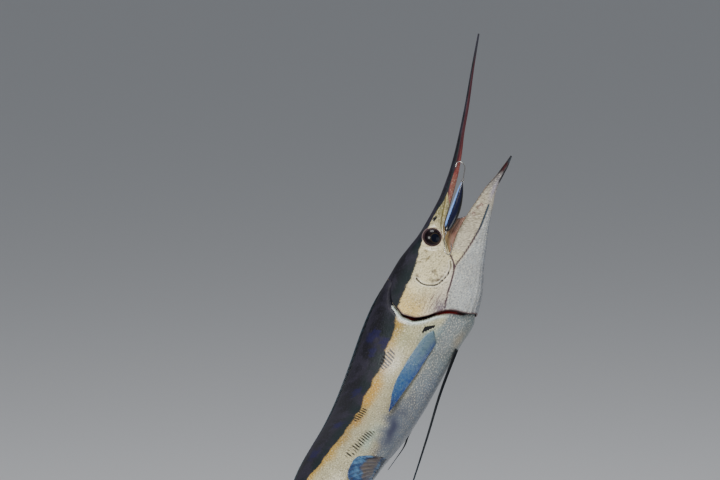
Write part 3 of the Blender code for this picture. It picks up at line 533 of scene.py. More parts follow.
def polyline_distance(x, z, points):
    """Distance in the side view from a line of points, and the share of the line's length reached."""
    best = np.full(np.shape(x), 9.0)
    share = np.zeros(np.shape(x))
    ends = [np.array(p) for p in points]
    total = sum(np.linalg.norm(b - a) for a, b in zip(ends, ends[1:]))
    done = 0.0
    for a, b in zip(ends, ends[1:]):
        length = np.linalg.norm(b - a)
        t = np.clip(((x - a[0]) * (b - a)[0] + (z - a[1]) * (b - a)[1]) / length ** 2, 0.0, 1.0)
        distance = np.hypot(x - a[0] - t * (b - a)[0], z - a[1] - t * (b - a)[1])
        closer = distance < best
        best = np.where(closer, distance, best)
        share = np.where(closer, (done + t * length) / total, share)
        done += length
    return best, share


def smooth_points(points, count=6):
    """A finer line through a few points, as a Catmull-Rom curve."""
    ends = [points[0], *points, points[-1]]
    fine = []
    for i in range(len(points) - 1):
        a, b, c, d = (np.array(p, dtype=float) for p in ends[i:i + 4])
        for t in np.arange(count) / count:
            fine.append(0.5 * (2 * b + (c - a) * t + (2 * a - 5 * b + 4 * c - d) * t * t
                               + (3 * b - a - 3 * c + d) * t ** 3))
    fine.append(np.array(points[-1], dtype=float))
    return fine


PREOPERCLE_LINE = smooth_points(PREOPERCLE)
GULAR_LINE = smooth_points(GULAR_FOLD)
CHEEK_LINE = smooth_points(CHEEK_FOLD)
MAXILLA_LINE = smooth_points(MAXILLA_FOLD)


def pleat_phase(x, turn):
    """Turns of the throat's fine pleats, in radians."""
    return np.radians(turn - 110) * 34.0 + 10.0 * x


def relief(x, z, degrees):
    """Height of folds, rims and grooves on the outer skin."""
    turn = np.abs(degrees)
    near, share = polyline_distance(x, z, PREOPERCLE_LINE)
    height = (0.0008 * bump(near - 0.0034, 0.0024) - 0.0007 * bump(near, 0.0018)) * grow(share, 0.0, 0.08)
    near, share = polyline_distance(x, z, GULAR_LINE)
    height += (0.0010 * bump(near - 0.0048, 0.0030) - 0.0016 * bump(near, 0.0022)) * grow(share, 0.0, 0.25)
    height -= 0.0012 * bump(polyline_distance(x, z, CHEEK_LINE)[0], 0.0018)
    pleats = grow(x, 0.10, 0.08) * fade(x, 0.33, 0.05) * grow(turn, 120, 12)
    return height + 0.0006 * pleats * np.sin(pleat_phase(x, turn)) + keel(x, degrees)


def nostril_gap(x, z):
    """Signed distance, roughly, from the nostril's oval rim in the side view."""
    along = (x - NOSTRIL_X) * 0.97 + (z - NOSTRIL_Z) * 0.24
    across = (z - NOSTRIL_Z) * 0.97 - (x - NOSTRIL_X) * 0.24
    return (np.hypot(along / NOSTRIL_SIZE[0], across / NOSTRIL_SIZE[1]) - 1.0) * NOSTRIL_SIZE[1]


def shape_eye_rim(points):
    """Pull the skin up to the eyeball's edge, and under it, and sink the nostrils, on both sides."""
    x, y, z = points[..., 0], points[..., 1], points[..., 2]
    radius = np.hypot(x - EYE_X, z - EYE_Z)
    on_side = np.abs(y) > SNOUT_HALF
    near = fade(radius, EYE_SEEN, EYE_RIM_SPREAD) * on_side
    bowl = EYE_RIM_OUT - 0.0085 * fade(radius, EYE_SEEN - 0.0070, 0.0066)
    bowl += 0.0008 * bump(radius - EYE_SEEN - 0.0012, 0.0016)
    hollow = 0.0018 * fade(nostril_gap(x, z), -0.0012, 0.0018) * on_side
    shaped = points.copy()
    shaped[..., 1] = y * (1.0 - near) + np.sign(y) * (bowl * near - hollow)
    return shaped


def mouth_angle(x):
    """Angle round the body of the mouth's cut, in degrees."""
    middle, half, _, _ = section(x)
    height = (cut_line(np.minimum(x, HEAD_BACK)) - middle) / half
    return np.degrees(np.arccos(np.clip(height, -0.985, 0.985)))


MOUTH_ANGLE_BACK = float(mouth_angle(np.array(HEAD_BACK)))


def cut_angle(x):
    """The mouth's angle on the head, held level behind it."""
    return np.where(x < HEAD_BACK, mouth_angle(x), MOUTH_ANGLE_BACK)


def folded(degrees):
    """Angles past the belly written as negative ones of the left side."""
    return np.where(degrees > 180.0, degrees - 360.0, degrees)


def upper_turns(x):
    """Angles over the head, from the left corner of the mouth to the right one."""
    return cut_angle(x)[:, None] * np.linspace(-1.0, 1.0, UPPER_STEPS + 1)


def lower_turns(corner):
    """Angles round below, from a right corner of the mouth to the left one."""
    return corner + (360.0 - 2.0 * corner) * np.linspace(0.0, 1.0, LOWER_STEPS + 1)


def full_turns(x):
    """Angles all round the body for rows of stations, starting at the left corner of the mouth."""
    corner = cut_angle(np.broadcast_to(x, (len(x), COLUMNS)))
    upper = corner[:, :UPPER_STEPS] * np.linspace(-1.0, 1.0, UPPER_STEPS + 1)[:-1]
    return folded(np.concatenate((upper, lower_turns(corner[:, UPPER_STEPS:])), axis=1))


def outer_skin(x, degrees, off=0.0):
    """The skin's outside with its folds, as fish coordinates."""
    turns = folded(degrees)
    bare = flank(x, turns)
    return shape_eye_rim(flank(x, turns, off + relief(bare[..., 0], bare[..., 2], turns)))


def jaw_outer(x):
    """The outside of the lower jaw and its angles, from its right rim round below to its left rim.

    It is a half oval at its tip and grows into the throat's own section at its back."""
    back = float(cut_angle(MOUTH_BACK))
    full_back = float(fullness_line(MOUTH_BACK))
    grown = grow(x, JAW_TIP, MOUTH_BACK - JAW_TIP)[:, None]
    corner = 90.0 + (back - 90.0) * grown
    turns = lower_turns(corner)
    angle = np.radians(turns)
    corner = np.radians(corner)
    reach = float(width_line(MOUTH_BACK)) * math.sin(math.radians(back)) ** full_back
    reach = reach / float(jaw_width(MOUTH_BACK)) - 1.0
    width = (jaw_width(x) * (1.0 + reach * grow(x, 0.18, MOUTH_BACK - 0.18)))[:, None]
    full = 1.0 - (1.0 - full_back) * grown
    depth = (jaw_rim(x) - jaw_under(x))[:, None] / (1.0 + np.cos(corner))
    side = np.sin(angle)
    y = width * np.sign(side) * np.abs(side / np.sin(corner)) ** full
    z = jaw_rim(x)[:, None] + depth * (np.cos(angle) - np.cos(corner))
    stations = np.broadcast_to(x[:, None], y.shape)
    turns = folded(turns)
    lift = relief(stations, z, turns) * (1.0 - bump(x - MOUTH_BACK, 0.003))[:, None]
    return np.stack((stations, y + lift * side, z - 0.7 * lift * np.abs(np.cos(angle))), axis=-1), turns


def mouth_floor(x, outside):
    """The inside of the lower jaw's trough, from the right rim to the left, under its outside's rims."""
    rim = jaw_rim(x)[:, None]
    width = outside[:, 0, 1][:, None]
    wall = np.minimum(JAW_WALL, 0.45 * width)
    depth = rim - jaw_under(x)[:, None]
    hollow = grow(x, JAW_HOLLOW_START, 0.05)[:, None]
    inner_depth = np.maximum(depth - 2.2 * wall, 0.1 * depth) * hollow
    share = np.linspace(0.0, 1.0, FLOOR_STEPS + 1)[None, :]
    side = np.cos(math.pi * share)
    inside_y = (width - wall) * np.sign(side) * np.abs(side) ** 0.8
    inside_z = rim - inner_depth * np.sin(math.pi * share) ** 0.75
    tongue = 0.35 * inner_depth * bump(share - 0.5, 0.16) * grow(x, 0.13, 0.05)[:, None]
    edge = 0.5 * np.minimum(share, 1.0 - share) * FLOOR_STEPS
    lip = ease(edge)
    y = np.sign(side) * np.abs(width) * (1.0 - lip) + inside_y * lip
    z = (rim + 0.0006 * np.sin(math.pi * np.minimum(edge, 1.0)) * hollow) * (1.0 - lip) + inside_z * lip
    points = np.stack((np.broadcast_to(x[:, None], y.shape), y, z + tongue), axis=-1)
    points[:, [0, -1]] = outside[:, [0, -1]]
    return points


def mouth_roof(x):
    """The underside of the bill and snout, from the left corner of the cut to the right."""
    corner = outer_skin(x, cut_angle(x))
    share = np.linspace(-1.0, 1.0, PALATE_STEPS + 1)[None, :]
    arch = 0.30 * corner[:, 1] * grow(x, 0.05, 0.10)
    y = corner[:, 1][:, None] * share
    z = corner[:, 2][:, None] + arch[:, None] * (1.0 - share ** 2) ** 0.7
    points = np.stack((np.broadcast_to(x[:, None], y.shape), y, z), axis=-1)
    points[:, 0] = outer_skin(x, -cut_angle(x))
    points[:, -1] = corner
    return points


def lay(colour, mask, paint):
    """Lay a paint over a colour where the mask says."""
    mask = np.clip(mask, 0.0, 1.0)[..., None]
    return colour * (1.0 - mask) + mask * paint


def layered(x, base, *layers):
    """A base colour at every point with paints laid over it in turn, each given as its mask and colour."""
    colour = np.broadcast_to(base, x.shape + (3,))
    for mask, paint in layers:
        colour = lay(colour, mask, paint)
    return colour


def soft_noise(points, scale, seed=0.0):
    """Smooth noise at an array of points, about -1 to 1."""
    flat = points.reshape(-1, 3) * scale + seed
    values = np.array([noise.noise(Vector(p)) for p in flat])
    return values.reshape(points.shape[:-1])


def trunk_colour(points, degrees):
    """Gold under the dark back, then cream, grey and a violet smudge towards the belly, a painted sheen and
    painted shade by the anal fin.
    """
    x = points[..., 0]
    turn = np.abs(degrees)
    soft = soft_noise(points, CLOUD_SCALE)
    low = turn - grey_edge(x)
    smudge_turn = 133 + 14 * grow(x, 0.68, 0.14) - 8 * soft
    painted_sheen_turn = 114 + 80 * (x - 0.75)
    streak_turn = 126 + 700 * (x - 0.433)
    return layered(
        x, GOLD,
        (grow(turn - dark_edge(x) + 6 * soft, 4, 15), FLANK_CREAM),
        (grow(low + 10 * soft, -9, 18), FLANK_GREY),
        (grow(low + 8 * soft, 12, 26), BELLY_GREY),
        (0.95 * spot(x, turn, 0.755 + 0.03 * soft, smudge_turn, 0.14, 16), SMUDGE),
        # Painted sheen: a faint cyan band across the lower flank
        (0.5 * spot(x, turn, 0.84 + 0.02 * soft, painted_sheen_turn, 0.08, 9), CYAN_TINT_AND_SHEEN),
        *((0.95 * spot(x, turn, *place, 0.026, 9), GOLD_DEEP) for place in GOLD_PATCHES),
        (fade(x + 0.02 * soft, 0.445, 0.07) * grow(turn + 8 * soft, 116, 12), BREAST),
        (0.7 * spot(x, turn, 0.394, 157, 0.018, 10), BREAST_BEIGE),
        (0.55 * spot(x, turn, 0.445, 84, 0.032, 11), FLANK_OLIVE),
        # Painted shade on the belly beside the anal fin's root
        (0.9 * bump(x - 0.912, 0.024) * grow(turn + 6 * soft, 160, 9), ANAL_ROOT_SHADE),
        (0.9 * spot(x, turn, 0.433, streak_turn, 0.006, 1.6), CLEITHRUM),
        (0.7 * spot(x, turn, 0.425, 112, 0.03, 9), CYAN_TINT_AND_SHEEN))


def head_colour(points, turn, soft):
    """Cream cheeks, a gold upper gill cover, and a pale, faintly pleated throat with painted shade below
    and in its pleats.
    """
    x, z = points[..., 0], points[..., 2]
    pleat = 0.5 + 0.5 * np.sin(pleat_phase(x, turn) + 2.2)
    return layered(
        x, CREAM,
        (grow(x + 0.02 * soft, 0.315, 0.05) * fade(turn, 82, 24), COVER_GOLD),
        (grow(turn, 82, 24) * grow(x, 0.24, 0.04), CREAM_LOW),
        (grow(turn + 6 * soft, 91, 12) * grow(x, 0.318, 0.03), COVER_LOW),
        (fade(x + 0.01 * soft, 0.150, 0.06), CREAM_SNOUT),
        (0.8 * bump(turn - 73, 5) * fade(x, 0.158, 0.02), LIP_CREAM),
        (grow(straight(GULAR_FOLD, x) - z, -0.001, 0.005) * grow(x, 0.09, 0.03), THROAT),
        # Painted shade: darker towards the throat's underside, in a thin line and between the pleats
        (0.8 * grow(turn + 10 * soft, 142, 26) * grow(x, 0.05, 0.05), THROAT_PAINTED_SHADE),
        (0.5 * spot(x, turn, 0.305, 140 + 380 * (x - 0.294), 0.026, 2.2), THROAT_PAINTED_SHADE),
        (0.26 * pleat * grow(turn, 118, 12) * grow(x, 0.1, 0.06), THROAT_PAINTED_SHADE))


def bill_colour(x, turn, soft):
    """Dark maroon, redder towards the head and the mouth's edge."""
    start = 102.0 - 31.0 * grow(x, 0.01, 0.08)
    salmon = grow(x, -0.11, 0.15) * grow(turn + 14 * soft, start, 22)
    return layered(
        x, MAROON,
        (salmon * (0.35 + 0.60 * grow(x, 0.01, 0.05)), SALMON),
        (0.75 * salmon * grow(x + 0.02 * soft, 0.062, 0.03), SNOUT_PINK),
        (fade(x, -0.205, 0.05), BILL_TIP_DARK))


def skin_colour(points, degrees):
    """Light colours of bill, head and gill covers: the dark back is laid on in the material."""
    x = points[..., 0]
    turn = np.abs(degrees)
    soft = soft_noise(points, CLOUD_SCALE)
    front = 0.109 + 0.00105 * np.maximum(turn - 72.0, 0.0) + 0.0030 * soft
    bill = fade(x, front, 0.009) * (turn < cut_angle(x) + 0.5)
    return lay(head_colour(points, turn, soft), bill, bill_colour(x, turn, soft))


def jaw_colour(points, degrees):
    """Cream side with brown rings, a slate and maroon tip, a dark rim, a violet stripe below."""
    x, z = points[..., 0], points[..., 2]
    rim, under = jaw_rim(x), jaw_under(x)
    high = (z - under) / (rim - under)
    above = grow(z - straight(GULAR_FOLD, x), -0.003, 0.006)
    wedge = 0.010 * bump(high - 0.5, 0.3)
    cheek = head_colour(points, np.maximum(np.abs(degrees), 100.0), soft_noise(points, CLOUD_SCALE))
    return layered(
        x, cheek,
        (above * fade(x, 0.215, 0.02), JAW_CREAM),
        (fade(x, 0.085, 0.05), JAW_CREAM),
        (fade(x, 0.050, 0.045), JAW_GREY),
        (0.8 * bump(high - 0.26, 0.18) * bump(x - 0.072, 0.024), JAW_VIOLET),
        (fade(high, 0.14, 0.22) * fade(x, 0.046, 0.014), JAW_TIP_DARK),
        (fade(x + wedge, 0.032, 0.014), JAW_TIP_DARK),
        (0.8 * bump(high - 0.55, 0.20) * bump(x - 0.018, 0.012), JAW_TIP_RED),
        (fade(x, 0.002, 0.008), JAW_SLATE),
        (0.95 * bump(rim - z, 0.0024) * fade(x, 0.20, 0.03), JAW_RIM_DARK),
        *((0.75 * bump(np.hypot(x - ring_x, z - ring_z) - 0.0024, 0.0018), BLOTCH)
          for ring_x, ring_z in JAW_RINGS))


def lining_colour(points, kind):
    """Gill pockets in painted deep shade, a maroon and salmon roof of the mouth, a tan and red floor, and
    painted deep shade down the throat.
    """
    x = points[..., 0]
    soft = soft_noise(points, 60.0, 2.0)
    if kind == "gill":
        return layered(x, DEEP_SHADE, (0.3 * grow(soft, -0.1, 0.5), GILL_RED))
    if kind == "roof":
        return layered(x, SALMON, (fade(x, -0.06, 0.10), MAROON), (grow(x, 0.09, 0.05), LINING))
    return layered(x, LINING, (grow(soft, 0.05, 0.3), LINING_RED), (grow(x, 0.238, 0.02), DEEP_SHADE))


def hatch_mask(x, turn):
    """Where rows of short dark slits show on the flank."""
    rear_turn = 118.0 - 8.0 * (x - 0.80) / 0.116
    rear = grow(x, 0.785, 0.03) * fade(x, 0.915, 0.03) * bump(turn - rear_turn, 9)
    return (2.4 * spot(x, turn, 0.514, 77, 0.024, 6) + 1.5 * spot(x, turn, 0.740, 85, 0.034, 5)
            + 0.68 * rear + 0.6 * spot(x, turn, 1.10, 104, 0.12, 14))


def hatch_phase(x, arc):
    """Turns of the slits' pattern, in radians: they slope back and down, and spread apart further back."""
    places = np.linspace(-0.3, 1.6, 191)
    periods = 0.0070 + 0.0010 * grow(places, 0.51, 0.29)
    along = np.interp(x, places, np.cumsum((places[1] - places[0]) / periods))
    return 2.0 * math.pi * (0.72 * along - 0.69 * arc / np.interp(x, places, periods))


def streak_mask(x, turn):
    """Where thin brown streaks run down the gill cover."""
    return spot(x, turn, 0.344, 94, 0.026, 12)


def mottle_mask(x, turn):
    """Where the head is mottled: ahead of the eye, and in spots on the cheek behind it."""
    ahead = 0.8 * bump(x - 0.165, 0.035) * (turn < 100)
    low = 0.45 * spot(x, turn, 0.125, 112, 0.05, 14) * (turn > 96)
    return ahead + low + spots(x, turn, 1.3, CHEEK_SPOTS, 0.010, 7)


def tick_mask(x, turn):
    """Small dark ticks round the rear edge of the cheek."""
    return spots(x, turn, 1.0, CHEEK_TICKS, 0.0034, 2.2)


def indigo_mask(x, turn):
    """Where the dark back is indigo."""
    return spots(x, turn, 1.3, BACK_PATCHES)


def axil_shade_mask(x, turn):
    """Painted shade in the hollow just above the breast fin's root: a wedge that narrows towards the belly.
    """
    down = (turn - 101.5) / 10.5
    middle = 0.4095 - 0.0190 * down
    half = 0.0058 * (1.0 - np.clip(down, 0.0, 1.0)) + 0.0030
    ends = grow(down, -0.06, 0.10) * fade(down, 0.95, 0.15)
    return ease((half - np.abs(x - middle)) / 0.0030 + 0.5) * ends


MASKS = (("streak", streak_mask), ("mottle", mottle_mask), ("tick", tick_mask), ("hatch", hatch_mask),
         ("indigo", indigo_mask), ("axil_shade", axil_shade_mask))


def grid_faces(rows, columns, wrap=False):
    """Corner numbers of the faces of a grid of points, closed into a tube where it wraps."""
    index = np.arange(rows * columns).reshape(rows, columns)
    after = np.roll(index, -1, axis=1)
    quads = np.stack((index[:-1], after[:-1], after[1:], index[1:]), axis=-1)
    return (quads if wrap else quads[:, :-1]).reshape(-1, 4)


VALUE_KINDS = {1: ("FLOAT", "value"), 3: ("FLOAT_VECTOR", "vector"), 4: ("FLOAT_COLOR", "color")}


def add_values(mesh, fields):
    """Numbers, vectors or colours at a mesh's points, which its material reads by their names."""
    for name, values in fields.items():
        values = np.asarray(values, dtype=np.float32).ravel()
        kind, label = VALUE_KINDS[len(values) // len(mesh.vertices)]
        mesh.attributes.new(name, kind, "POINT").data.foreach_set(label, values)


def sew(mesh, distance):
    """Join the patches' common borders and turn the faces outward."""
    shape = bmesh.new()
    shape.from_mesh(mesh)
    bmesh.ops.remove_doubles(shape, verts=shape.verts, dist=distance)
    bmesh.ops.dissolve_degenerate(shape, edges=shape.edges, dist=1e-6)
    bmesh.ops.recalc_face_normals(shape, faces=shape.faces)
    shape.to_mesh(mesh)
    shape.free()
    mesh.shade_smooth()


def make_piece(name, points, faces, material, distance=SEWING_GAP, **fields):
    """A smooth piece from world points and faces, with named values at its points."""
    mesh = bpy.data.meshes.new(name)
    mesh.from_pydata(np.reshape(points, (-1, 3)).tolist(), [], faces)
    add_values(mesh, fields)
    sew(mesh, distance)
    mesh.materials.append(material)
    piece = bpy.data.objects.new(name, mesh)
    bpy.context.scene.collection.objects.link(piece)
    return piece


class Patchwork:
    """Grids of points with their colours, sewn into one skin."""

    def __init__(self):
        self.places = []
        self.colours = []
        self.turns = []
        self.linings = []
        self.faces = []
        self.count = 0

    def add(self, points, degrees, colour, lining=0.0):
        """A grid of fish coordinates. The lining is 1 where no outer skin shows."""
        rows, columns = points.shape[:2]
        self.faces += (grid_faces(rows, columns) + self.count).tolist()
        self.places.append(points.reshape(-1, 3))
        self.colours.append(colour.reshape(-1, 3))
        self.turns.append(np.broadcast_to(np.abs(degrees), (rows, columns)).ravel())
        self.linings.append(np.broadcast_to(lining, (rows, columns)).ravel())
        self.count += rows * columns

    def close(self, ring, degrees, colour):
        """Close a ring of points with a fan to its middle."""
        fan = np.stack((ring, np.broadcast_to(ring.mean(axis=0), ring.shape)))
        self.add(fan, degrees, np.broadcast_to(colour, fan.shape))

    def piece(self, name, material):
        """The sewn skin, with the values that its material reads."""
        places = np.concatenate(self.places)
        turns = np.concatenate(self.turns)
        lining = np.concatenate(self.linings)
        paint = np.concatenate(self.colours)
        x, y, z = places.T
        _, half, width, _ = section(x)
        arc = np.radians(turns) * 0.5 * (half + width)
        arc_near, arc_share = polyline_distance(x, z, PREOPERCLE_LINE)
        fold_near, fold_share = polyline_distance(x, z, GULAR_LINE)
        fold_near = fold_near + 0.0030 * fade(fold_share, 0.0, 0.05)
        cheek_near = polyline_distance(x, z, CHEEK_LINE)[0]
        maxilla_near = polyline_distance(x, z, MAXILLA_LINE)[0]
        return make_piece(
            name, on_body(places), self.faces, material,
            paint=np.concatenate((paint, np.ones((len(paint), 1))), axis=1),
            pale=grow(paint.mean(axis=1), 0.05, 0.15),
            place=np.stack((x, arc, np.sign(y)), axis=1),
            below_dark=turns - dark_edge(x) + 400.0 * grow(lining, 0.5, 0.1),
            arc_gap=arc_near + 0.02 * fade(arc_share, 0.0, 0.10) + lining,
            fold_gap=np.minimum(fold_near, cheek_near) + lining,
            fold_front=fade(x, 0.135, 0.06),
            maxilla_gap=maxilla_near + lining,
            eye_gap=np.hypot(x - EYE_X, z - EYE_Z) - EYE_SEEN + (np.abs(y) < SNOUT_HALF),
            nostril_gap=nostril_gap(x, z),
            hatch_phase=hatch_phase(x, arc),
            **{label: np.clip(mask(x, turns), 0.0, 1.0) * (1.0 - lining) for label, mask in MASKS})


def build_head(work):
    """Bill, snout and lower jaw, and the mouth's lining with the start of the throat."""
    rows = np.concatenate((np.linspace(BILL_TIP, BILL_BACK, 72),
                           np.linspace(BILL_BACK, MOUTH_BACK, 100)[1:]))
    turns = upper_turns(rows)
    snout = outer_skin(rows[:, None], turns)
    work.add(snout, turns, skin_colour(snout, turns))
    roof = mouth_roof(rows)
    work.add(roof, 170.0, lining_colour(roof, "roof"), 0.6)
    work.close(np.concatenate((roof[0], snout[0][::-1])), 20.0, MAROON)

    rows = np.linspace(JAW_TIP, MOUTH_BACK, 104)
    outside, turns = jaw_outer(rows)
    floor = mouth_floor(rows, outside)
    outside[-1] = outer_skin(MOUTH_BACK, lower_turns(cut_angle(MOUTH_BACK)))
    floor[-1, [0, -1]] = outside[-1, [0, -1]]
    work.add(outside, turns, jaw_colour(outside, turns))
    work.add(floor, 175.0, lining_colour(floor, "floor"), 1.0)
    work.close(np.concatenate((floor[0], outside[0][::-1])), 170.0, JAW_TIP_DARK)

    ring = np.concatenate((roof[-1][::-1], floor[-1][::-1][1:]))
    steps = np.linspace(0.0, 1.0, 10)[:, None]
    share = ease(steps)[..., None]
    funnel = ring * (1.0 - share) + THROAT_END * share
    funnel[..., 0] = MOUTH_BACK + (THROAT_END[0] - MOUTH_BACK) * steps ** 0.8
    work.add(funnel, 175.0, lining_colour(funnel, "throat"), 1.0)


def build_covers(work):
    """Head and gill covers from the mouth's corner back, folded in behind the covers' edges.

    Gives the edge's stations, where it stands free, and the stations at the pocket's bottom."""
    neck_turns = full_turns(np.array([[NECK_X]]))
    edge = edge_station(neck_turns)
    free = grow(np.abs(neck_turns), COVER_TOP[0], COVER_TOP[1] - COVER_TOP[0])
    x = MOUTH_BACK + (edge - MOUTH_BACK) * np.linspace(0.0, 1.0, 78)[:, None]
    turns = full_turns(x)
    flare = COVER_FLARE * grow(x, HEAD_BACK, 0.07) * free
    cover = outer_skin(x, turns, flare)
    rim = free * grow(np.abs(turns), 46.0, 12.0) * bump(edge - x, 0.0022)
    work.add(cover, turns, lay(skin_colour(cover, turns), rim, COVER_RIM))

    turns = turns[-1:]
    flare = flare[-1:]
    wall = COVER_WALL * free
    steps = np.linspace(0.0, 1.0, 6)[:, None]
    lip_x = edge + 0.0012 * np.sin(math.pi * steps) * free
    lip = outer_skin(lip_x, turns, flare - wall * 0.5 * (1.0 - np.cos(math.pi * steps)))
    work.add(lip, turns, lay(skin_colour(lip, turns), free, COVER_RIM))

    pocket = edge - free * (edge - POCKET_X)
    steps = np.linspace(0.0, 1.0, 16)[:, None]
    off = flare - wall - 0.0025 * free * steps
    under = outer_skin(edge + (pocket - edge) * steps, turns, off)
    work.add(under, turns, lining_colour(under, "gill"), free)

    off = off[-1:] - (gill_sink(pocket, turns) + off[-1:]) * np.linspace(0.0, 1.0, 4)[:, None]
    bottom = outer_skin(pocket, turns, off)
    work.add(bottom, 120.0, lining_colour(bottom, "gill"), free)
    return edge, free, pocket


def build_bed(work, edge, free, pocket):
    """The flank that sinks under the gill covers, with the gill slit's painted shadow and the pale band
    behind them.
    """
    x = pocket + (BED_BACK - pocket) * np.linspace(0.0, 1.0, 62)[:, None]
    turns = full_turns(x)
    turn = np.abs(turns)
    past_slit = x - edge - straight(SLIT_SHADOW_WIDTH, turn)
    above_fin = free * fade(turn, 104.0, 22.0) * grow(turn, 42.0, 10.0)
    ridge = 0.0018 * bump(past_slit - 0.0042, 0.0042) * above_fin
    bed = outer_skin(x, turns, ridge - gill_sink(x, turns))
    band = bump(past_slit - 0.0054, 0.0060) * above_fin
    across_back = 0.575 * band * fade(turn, 62.0, 6.0)
    # Painted shadow of the gill slit: the flank just behind each cover's edge takes the pockets' dark,
    # red-tinted colour
    slit_shadow = free * fade(past_slit, -0.0016, 0.0026)
    red = 0.8 * bump(turn - 118.0, 12.0) * grow(x - edge, -0.001, 0.004)
    slit_shadow_colour = lay(lining_colour(bed, "gill"), red, GILL_RED)
    colour = lay(lay(trunk_colour(bed, turns), band, CLEITHRUM), slit_shadow, slit_shadow_colour)
    work.add(bed, turns, colour, np.maximum(slit_shadow, across_back))


def build_trunk(work):
    """The trunk behind the gill covers, closed by a rounded end inside the tail fin."""
    rows = np.concatenate((np.linspace(BED_BACK, FINE_ROWS_END, 80),
                           np.linspace(FINE_ROWS_END, TAIL_ROOT, 78)[1:]))[:, None]
    turns = full_turns(rows)
    trunk = outer_skin(rows, turns)
    work.add(trunk, turns, trunk_colour(trunk, turns))

    share = np.linspace(0.0, 1.0, 9)[:, None]
    _, y, z = trunk[-1].T
    middle = z.mean()
    end = np.stack((TAIL_ROOT + TAIL_CAP * share + 0.0 * y, y * np.sqrt(1.0 - (0.985 * share) ** 2),
                    middle + (z - middle) * (1.0 - 0.10 * share)), axis=-1)
    work.add(end, turns[-1:], trunk_colour(end, turns[-1:]))


def build_skin(material):
    """One skin over bill, head, jaw, gill covers and trunk, with the mouth's lining and the gill slits."""
    work = Patchwork()
    build_head(work)
    build_bed(work, *build_covers(work))
    build_trunk(work)
    skin = work.piece("skin", material)
    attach(skin, "root")
    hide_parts(*SKIN_NODES)


class Nodes:
    """A material and its node tree. Colours and numbers may be plain or come from other nodes."""

    def __init__(self, name):
        self.material = bpy.data.materials.new(name)
        self.material.use_nodes = True
        self.tree = self.material.node_tree
        self.shader = self.tree.nodes["Principled BSDF"]

    def value(self, socket, given):
        """Link a socket to another, or set it to a plain value."""
        if isinstance(given, bpy.types.NodeSocket):
            self.tree.links.new(given, socket)
        else:
            socket.default_value = given

    def set(self, **values):
        """Link or set the shader's sockets by their names, and give the material."""
        for name, given in values.items():
            name = name.replace("_", " ").title().replace("Ior", "IOR")
            self.value(self.shader.inputs[name], given)
        return self.material

    def node(self, kind, sockets=(), **settings):
        """A new node with its settings, and its sockets by name or in their order."""
        made = self.tree.nodes.new(kind)
        for name, value in settings.items():
            setattr(made, name, value)
        pairs = sockets.items() if isinstance(sockets, dict) else enumerate(sockets)
        for key, given in pairs:
            self.value(made.inputs[key], given)
        return made

    def attribute(self, name, output="Fac"):
        return self.node("ShaderNodeAttribute", attribute_name=name).outputs[output]

    def math(self, operation, *terms):
        return self.node("ShaderNodeMath", terms, operation=operation).outputs[0]

    def times(self, first, *others):
        for other in others:
            first = self.math("MULTIPLY", first, other)
        return first

    def scaled(self, value, factor, plus):
        return self.math("MULTIPLY_ADD", value, factor, plus)

    def step(self, value, low, high, start=0.0, end=1.0):
        """Smoothly from a start to an end as the value goes from low to high."""
        made = self.node("ShaderNodeMapRange", (value, low, high, start, end),
                         interpolation_type="SMOOTHSTEP")
        return made.outputs[0]

    def noise(self, vector, scale, detail=3.0, roughness=0.55):
        made = self.node("ShaderNodeTexNoise", {"Vector": vector, "Scale": scale, "Detail": detail,
                                                "Roughness": roughness})
        return made.outputs["Fac"]

    def cells(self, vector, scale):
        made = self.node("ShaderNodeTexVoronoi", {"Vector": vector, "Scale": scale}, feature="F1")
        return made.outputs["Distance"]

    def stretched(self, vector, scale):
        return self.node("ShaderNodeMapping", {"Vector": vector, "Scale": scale}).outputs["Vector"]

    def mix(self, factor, a, b):
        a, b = (given if isinstance(given, bpy.types.NodeSocket) else (*given, 1.0) for given in (a, b))
        return self.node("ShaderNodeMix", {0: factor, 6: a, 7: b}, data_type="RGBA").outputs[2]

    def layered(self, colour, *layers):
        """A colour with others mixed over it in turn, each given as its mask and colour."""
        for mask, paint in layers:
            colour = self.mix(mask, colour, paint)
        return colour

    def bump(self, height, strength, distance, **under):
        sockets = {"Height": height, "Strength": strength, "Distance": distance, **under}
        return self.node("ShaderNodeBump", sockets).outputs["Normal"]


def pale_skin(nodes, place, coarse, fine, grain):
    """The paint with cloudy shades, dark and light specks, cheek mottles and the gill cover's streaks."""
    paint = nodes.attribute("paint", "Color")
    pale = nodes.attribute("pale")
    clouded = nodes.mix(nodes.times(pale, 0.24), paint, rgb(96, 86, 78))
    specks = ((fine, 0.53, 0.64, 0.55, rgb(84, 76, 76)),
              (fine, 0.46, 0.34, 0.55, rgb(250, 240, 214)),
              (grain, 0.50, 0.64, 0.42, rgb(84, 74, 74)))
    blots = nodes.step(nodes.noise(place, 120.0, 4.0), 0.50, 0.62)
    lines = nodes.noise(nodes.stretched(place, (0.05, 1.0, 1.0)), 640.0, 2.0)
    return nodes.layered(
        nodes.mix(nodes.step(coarse, 0.35, 0.66), clouded, paint),
        *((nodes.times(pale, nodes.step(spread, start, end, 0.0, strength)), speck)
          for spread, start, end, strength, speck in specks),
        (nodes.times(nodes.attribute("mottle"), blots, 0.70), rgb(96, 82, 46)),
        (nodes.times(nodes.attribute("streak"), nodes.step(lines, 0.48, 0.60), 0.80), rgb(88, 54, 64)),
        (nodes.times(nodes.attribute("tick"), 0.85), rgb(60, 42, 40)))


